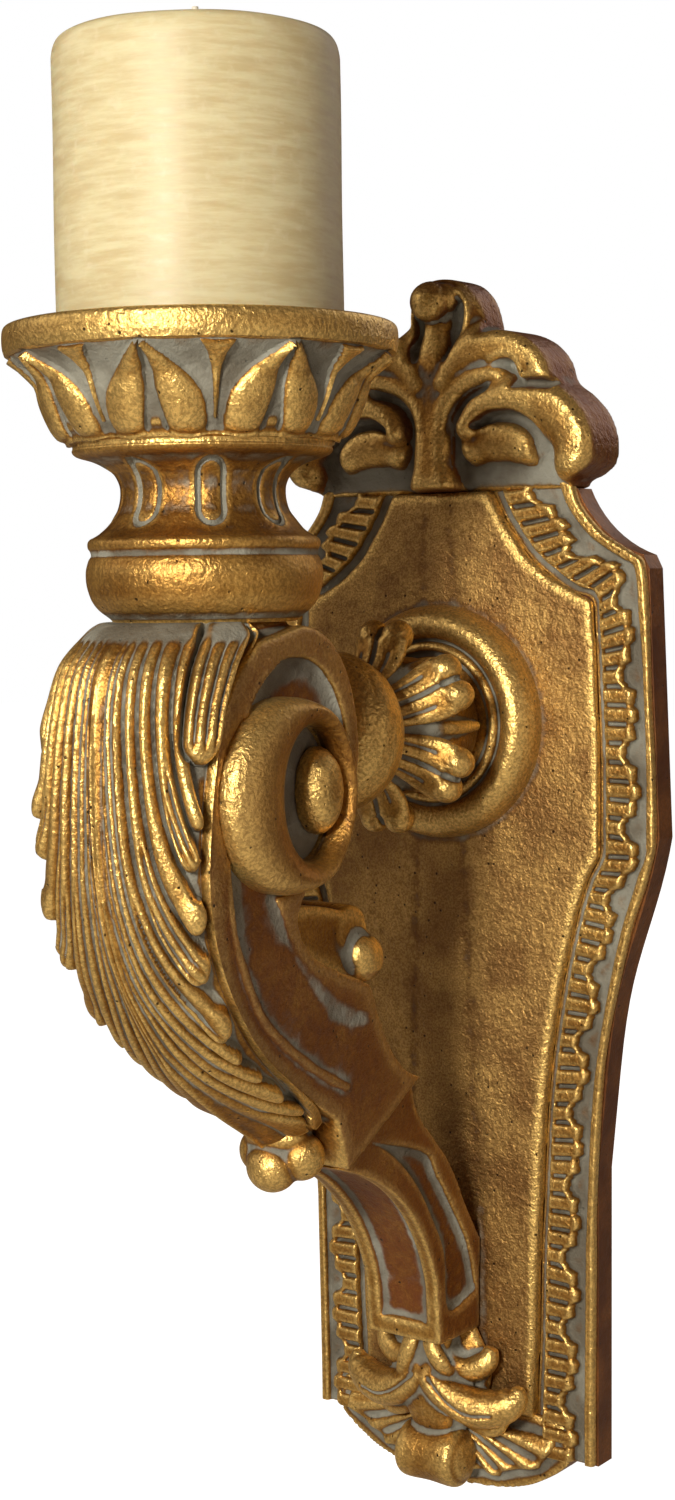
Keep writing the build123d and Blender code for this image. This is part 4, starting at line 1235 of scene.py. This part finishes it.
petal = {"count": 6, "tip": 27.0, "tipY": -41.5, "lobeSize": (5.0, 5.2, 4.7), "apart": 4.3,
         "blade": ((11.5, 57), (13.2, 53), (16.5, 48.5), (21, 45), (26, 43.5)),
         "tongue": ((12.5, 54), (15.5, 48), (19.5, 41), (21.8, 34), (22.6, 26))}
rosetteParts = [turned("core", [(0.01, 18.1), (12, 18.1), (17.5, 18.2), (18.5, 21), (19.5, 26), (20.5, 31),
                                (20.8, 37), (19, 43), (15.5, 48.5), (12.6, 53), (11.8, 56.8), (0.01, 56.8)],
                       64, outwards=True)]
for number in range(petal["count"]):
    spin = Matrix.Rotation(-math.radians(90 + number * 360 / petal["count"]), 4, "Y")

    def around(radius, depth, aside):
        place = spin @ Vector((radius, -depth, aside))
        return tuple(place)

    blade = [around(radius, depth, 0) for radius, depth in petal["blade"]]
    rosetteParts.append(rope(blade, [5.2, 6.2, 7.8, 9.2, 9.6], 0.34, sides=24))
    for aside in (-1, 1):
        lobe = around(petal["tip"], -petal["tipY"], aside * petal["apart"])
        rosetteParts.append(ball(lobe, petal["lobeSize"], spin))
    # a plain tongue shows between two leaves
    half = Matrix.Rotation(-math.radians(90 + (number + 0.5) * 360 / petal["count"]), 4, "Y")
    tongue = [tuple(half @ Vector((radius, -depth, 0))) for radius, depth in petal["tongue"]]
    rosetteParts.append(rope(tongue, [2.0, 2.4, 2.6, 2.2, 1.6], 0.6, sides=20))
rosette = remeshed(joined("leafRosette", rosetteParts), 0.6, 5)
rosettePoints, rosetteNormals = readPoints(rosette.data), readNormals(rosette.data)


# distance from the middle line of the nearest leaf, and from the boss axis
def petalPlace(points):
    turn = np.arctan2(points[:, 2], points[:, 0])
    away = np.hypot(points[:, 0], points[:, 2])
    sector = 2 * math.pi / petal["count"]
    offset = (turn - math.pi / 2 + sector / 2) % sector - sector / 2
    return np.abs(offset) * away, away


aside, away = petalPlace(rosettePoints)
outer = rosettePoints[:, 1] < -40
vein = smooth(1 - aside / 1.1) * smooth((away - 13) / 3) * outer
flank = smooth(1 - np.abs(aside - 4.4 - 0.10 * (away - 16)) / 1.0) * smooth((away - 13) / 3)
flank = flank * smooth((24 - away) / 2) * outer
rosettePoints -= rosetteNormals * (1.2 * vein + 0.7 * flank)[:, None]
writePoints(rosette.data, rosettePoints)
soften(rosette, 1)


def rosetteWash(points, normals):
    aside, away = petalPlace(points)
    between = smooth((aside - 6.5 - 0.12 * (away - 14)) / 2) * smooth((30 - away) / 4)
    return 1.3 * between + 0.55 * smooth(1 - np.abs(aside) / 1.4) * (away > 14)


finishPiece(rosette, "sconce", ["rosette"], wash=rosetteWash, fine=5, broad=45)

beadCurve = bend([(12.0, 57.0), (14.5, 57.4), (18.6, 59.8), (21.8, 63.4), (23.3, 67.5), (23.5, 70.5),
                  (22.4, 74.8), (19.6, 78.4), (15.8, 80.6), (12.0, 81.0)], 5)
beadProfile = np.vstack([[(4.1, 57.0)], beadCurve, [(12.0, 89), (12.0, 97), (4.1, 97), (4.1, 70)]])
bead = turned("spindleBead", beadProfile[::-1], 200, outwards=True,
              relief=lambda angle, radius, height: 0.12 * np.sin(5 * angle + height) * (radius > 14))
finishPiece(bead, "sconce", ["spindle_bead"],
            wash=lambda p, n: 0.6 * smooth((17 - np.hypot(p[:, 0], p[:, 2])) / 3))
print("boss made")


# pieces that keep their CAD shape
for node, material in (("backplate", shadedBoardGilt), ("crest_dowels", beech), ("cup_rod", steel),
                       ("rod_nut", steel), ("rod_washer", steel), ("arm_stud", steel), ("foot_screw", steel),
                       ("foot_washer", steel), ("hanger_plates", steel), ("hanger_screws", steel),
                       ("wick", cotton)):
    nodes[node].data.materials.clear()
    nodes[node].data.materials.append(material)


# light, floor and camera
def areaLight(name, place, aim, size, watts, colour):
    lamp = bpy.data.lights.new(name, "AREA")
    lamp.shape = "DISK"
    lamp.size = size
    lamp.energy = watts
    lamp.color = colour
    holder = bpy.data.objects.new(name, lamp)
    holder.location = place
    holder.rotation_euler = (Vector(aim) - Vector(place)).to_track_quat("-Z", "Y").to_euler()
    scene.collection.objects.link(holder)


middle = (0.0, -0.08, -0.02)
areaLight("keyLight", (0.22, -1.02, 0.27), middle, 0.22, 11.0, (1.0, 0.95, 0.84))
areaLight("softFill", (-1.3, -1.0, 0.7), middle, 1.2, 4.0, (1.0, 0.92, 0.82))
areaLight("sideFill", (1.5, -0.2, 0.1), middle, 1.0, 2.0, (1.0, 0.84, 0.66))
areaLight("backFill", (0.4, 1.5, 0.9), middle, 1.4, 6.0, (1.0, 0.95, 0.90))


def makeWorld():
    world = bpy.data.worlds.new("studio")
    scene.world = world
    world.use_nodes = True
    tree = world.node_tree
    tree.nodes.clear()
    leave = tree.nodes.new("ShaderNodeOutputWorld")
    seen = addNode(tree, "Background", {"Color": (1.0, 1.0, 1.0, 1), "Strength": 1.0})
    lit = addNode(tree, "Background", {"Color": (0.30, 0.15, 0.085, 1), "Strength": 0.20})
    path = addNode(tree, "LightPath")
    both = addNode(tree, "MixShader", {0: path.outputs["Is Camera Ray"], 1: lit.outputs[0],
                                       2: seen.outputs[0]})
    tree.links.new(both.outputs[0], leave.inputs[0])


makeWorld()


def makeFloor():
    bm = bmesh.new()
    bmesh.ops.create_grid(bm, x_segments=8, y_segments=8, size=4.0)
    bmesh.ops.translate(bm, verts=bm.verts, vec=(0, 0, cadBounds[0][2] - 0.03))
    floor = newPiece("paleFloor", bm)
    material, tree, shader = newMaterial("paleFloor")
    coords = addNode(tree, "TexCoord").outputs["Object"]
    tone = addNode(tree, "TexNoise", {"Vector": coords, "Scale": 3.0, "Detail": 2.0})
    tree.links.new(mixColour(tree, tone.outputs["Fac"], (0.60, 0.58, 0.55, 1), (0.66, 0.64, 0.61, 1)),
                   shader.inputs["Base Color"])
    shader.inputs["Roughness"].default_value = 0.9
    glow = addNode(tree, "LightPath").outputs["Is Camera Ray"]
    shader.inputs["Emission Color"].default_value = (1, 1, 1, 1)
    tree.links.new(glow, shader.inputs["Emission Strength"])
    floor.data.materials.append(material)


makeFloor()

view = {"aim": (-0.03176, -0.02377, -0.00926), "distance": 0.71384, "azimuth": 36.82, "elevation": 4.2,
        "roll": -0.75, "lens": 54.65, "tallSide": 36.0}


def makeCamera():
    data = bpy.data.cameras.new("camera")
    data.sensor_fit = "VERTICAL"
    data.sensor_height = view["tallSide"]
    data.lens = view["lens"]
    data.clip_start = 0.01
    camera = bpy.data.objects.new("camera", data)
    turn, rise = math.radians(view["azimuth"]), math.radians(view["elevation"])
    back = Vector((math.sin(turn) * math.cos(rise), -math.cos(turn) * math.cos(rise), math.sin(rise)))
    camera.location = Vector(view["aim"]) + back * view["distance"]
    facing = back.to_track_quat("Z", "Y") @ Quaternion((0, 0, 1), math.radians(view["roll"]))
    camera.rotation_euler = facing.to_euler()
    scene.collection.objects.link(camera)
    scene.camera = camera


makeCamera()
scene.view_settings.view_transform = "Standard"

print("scene made")
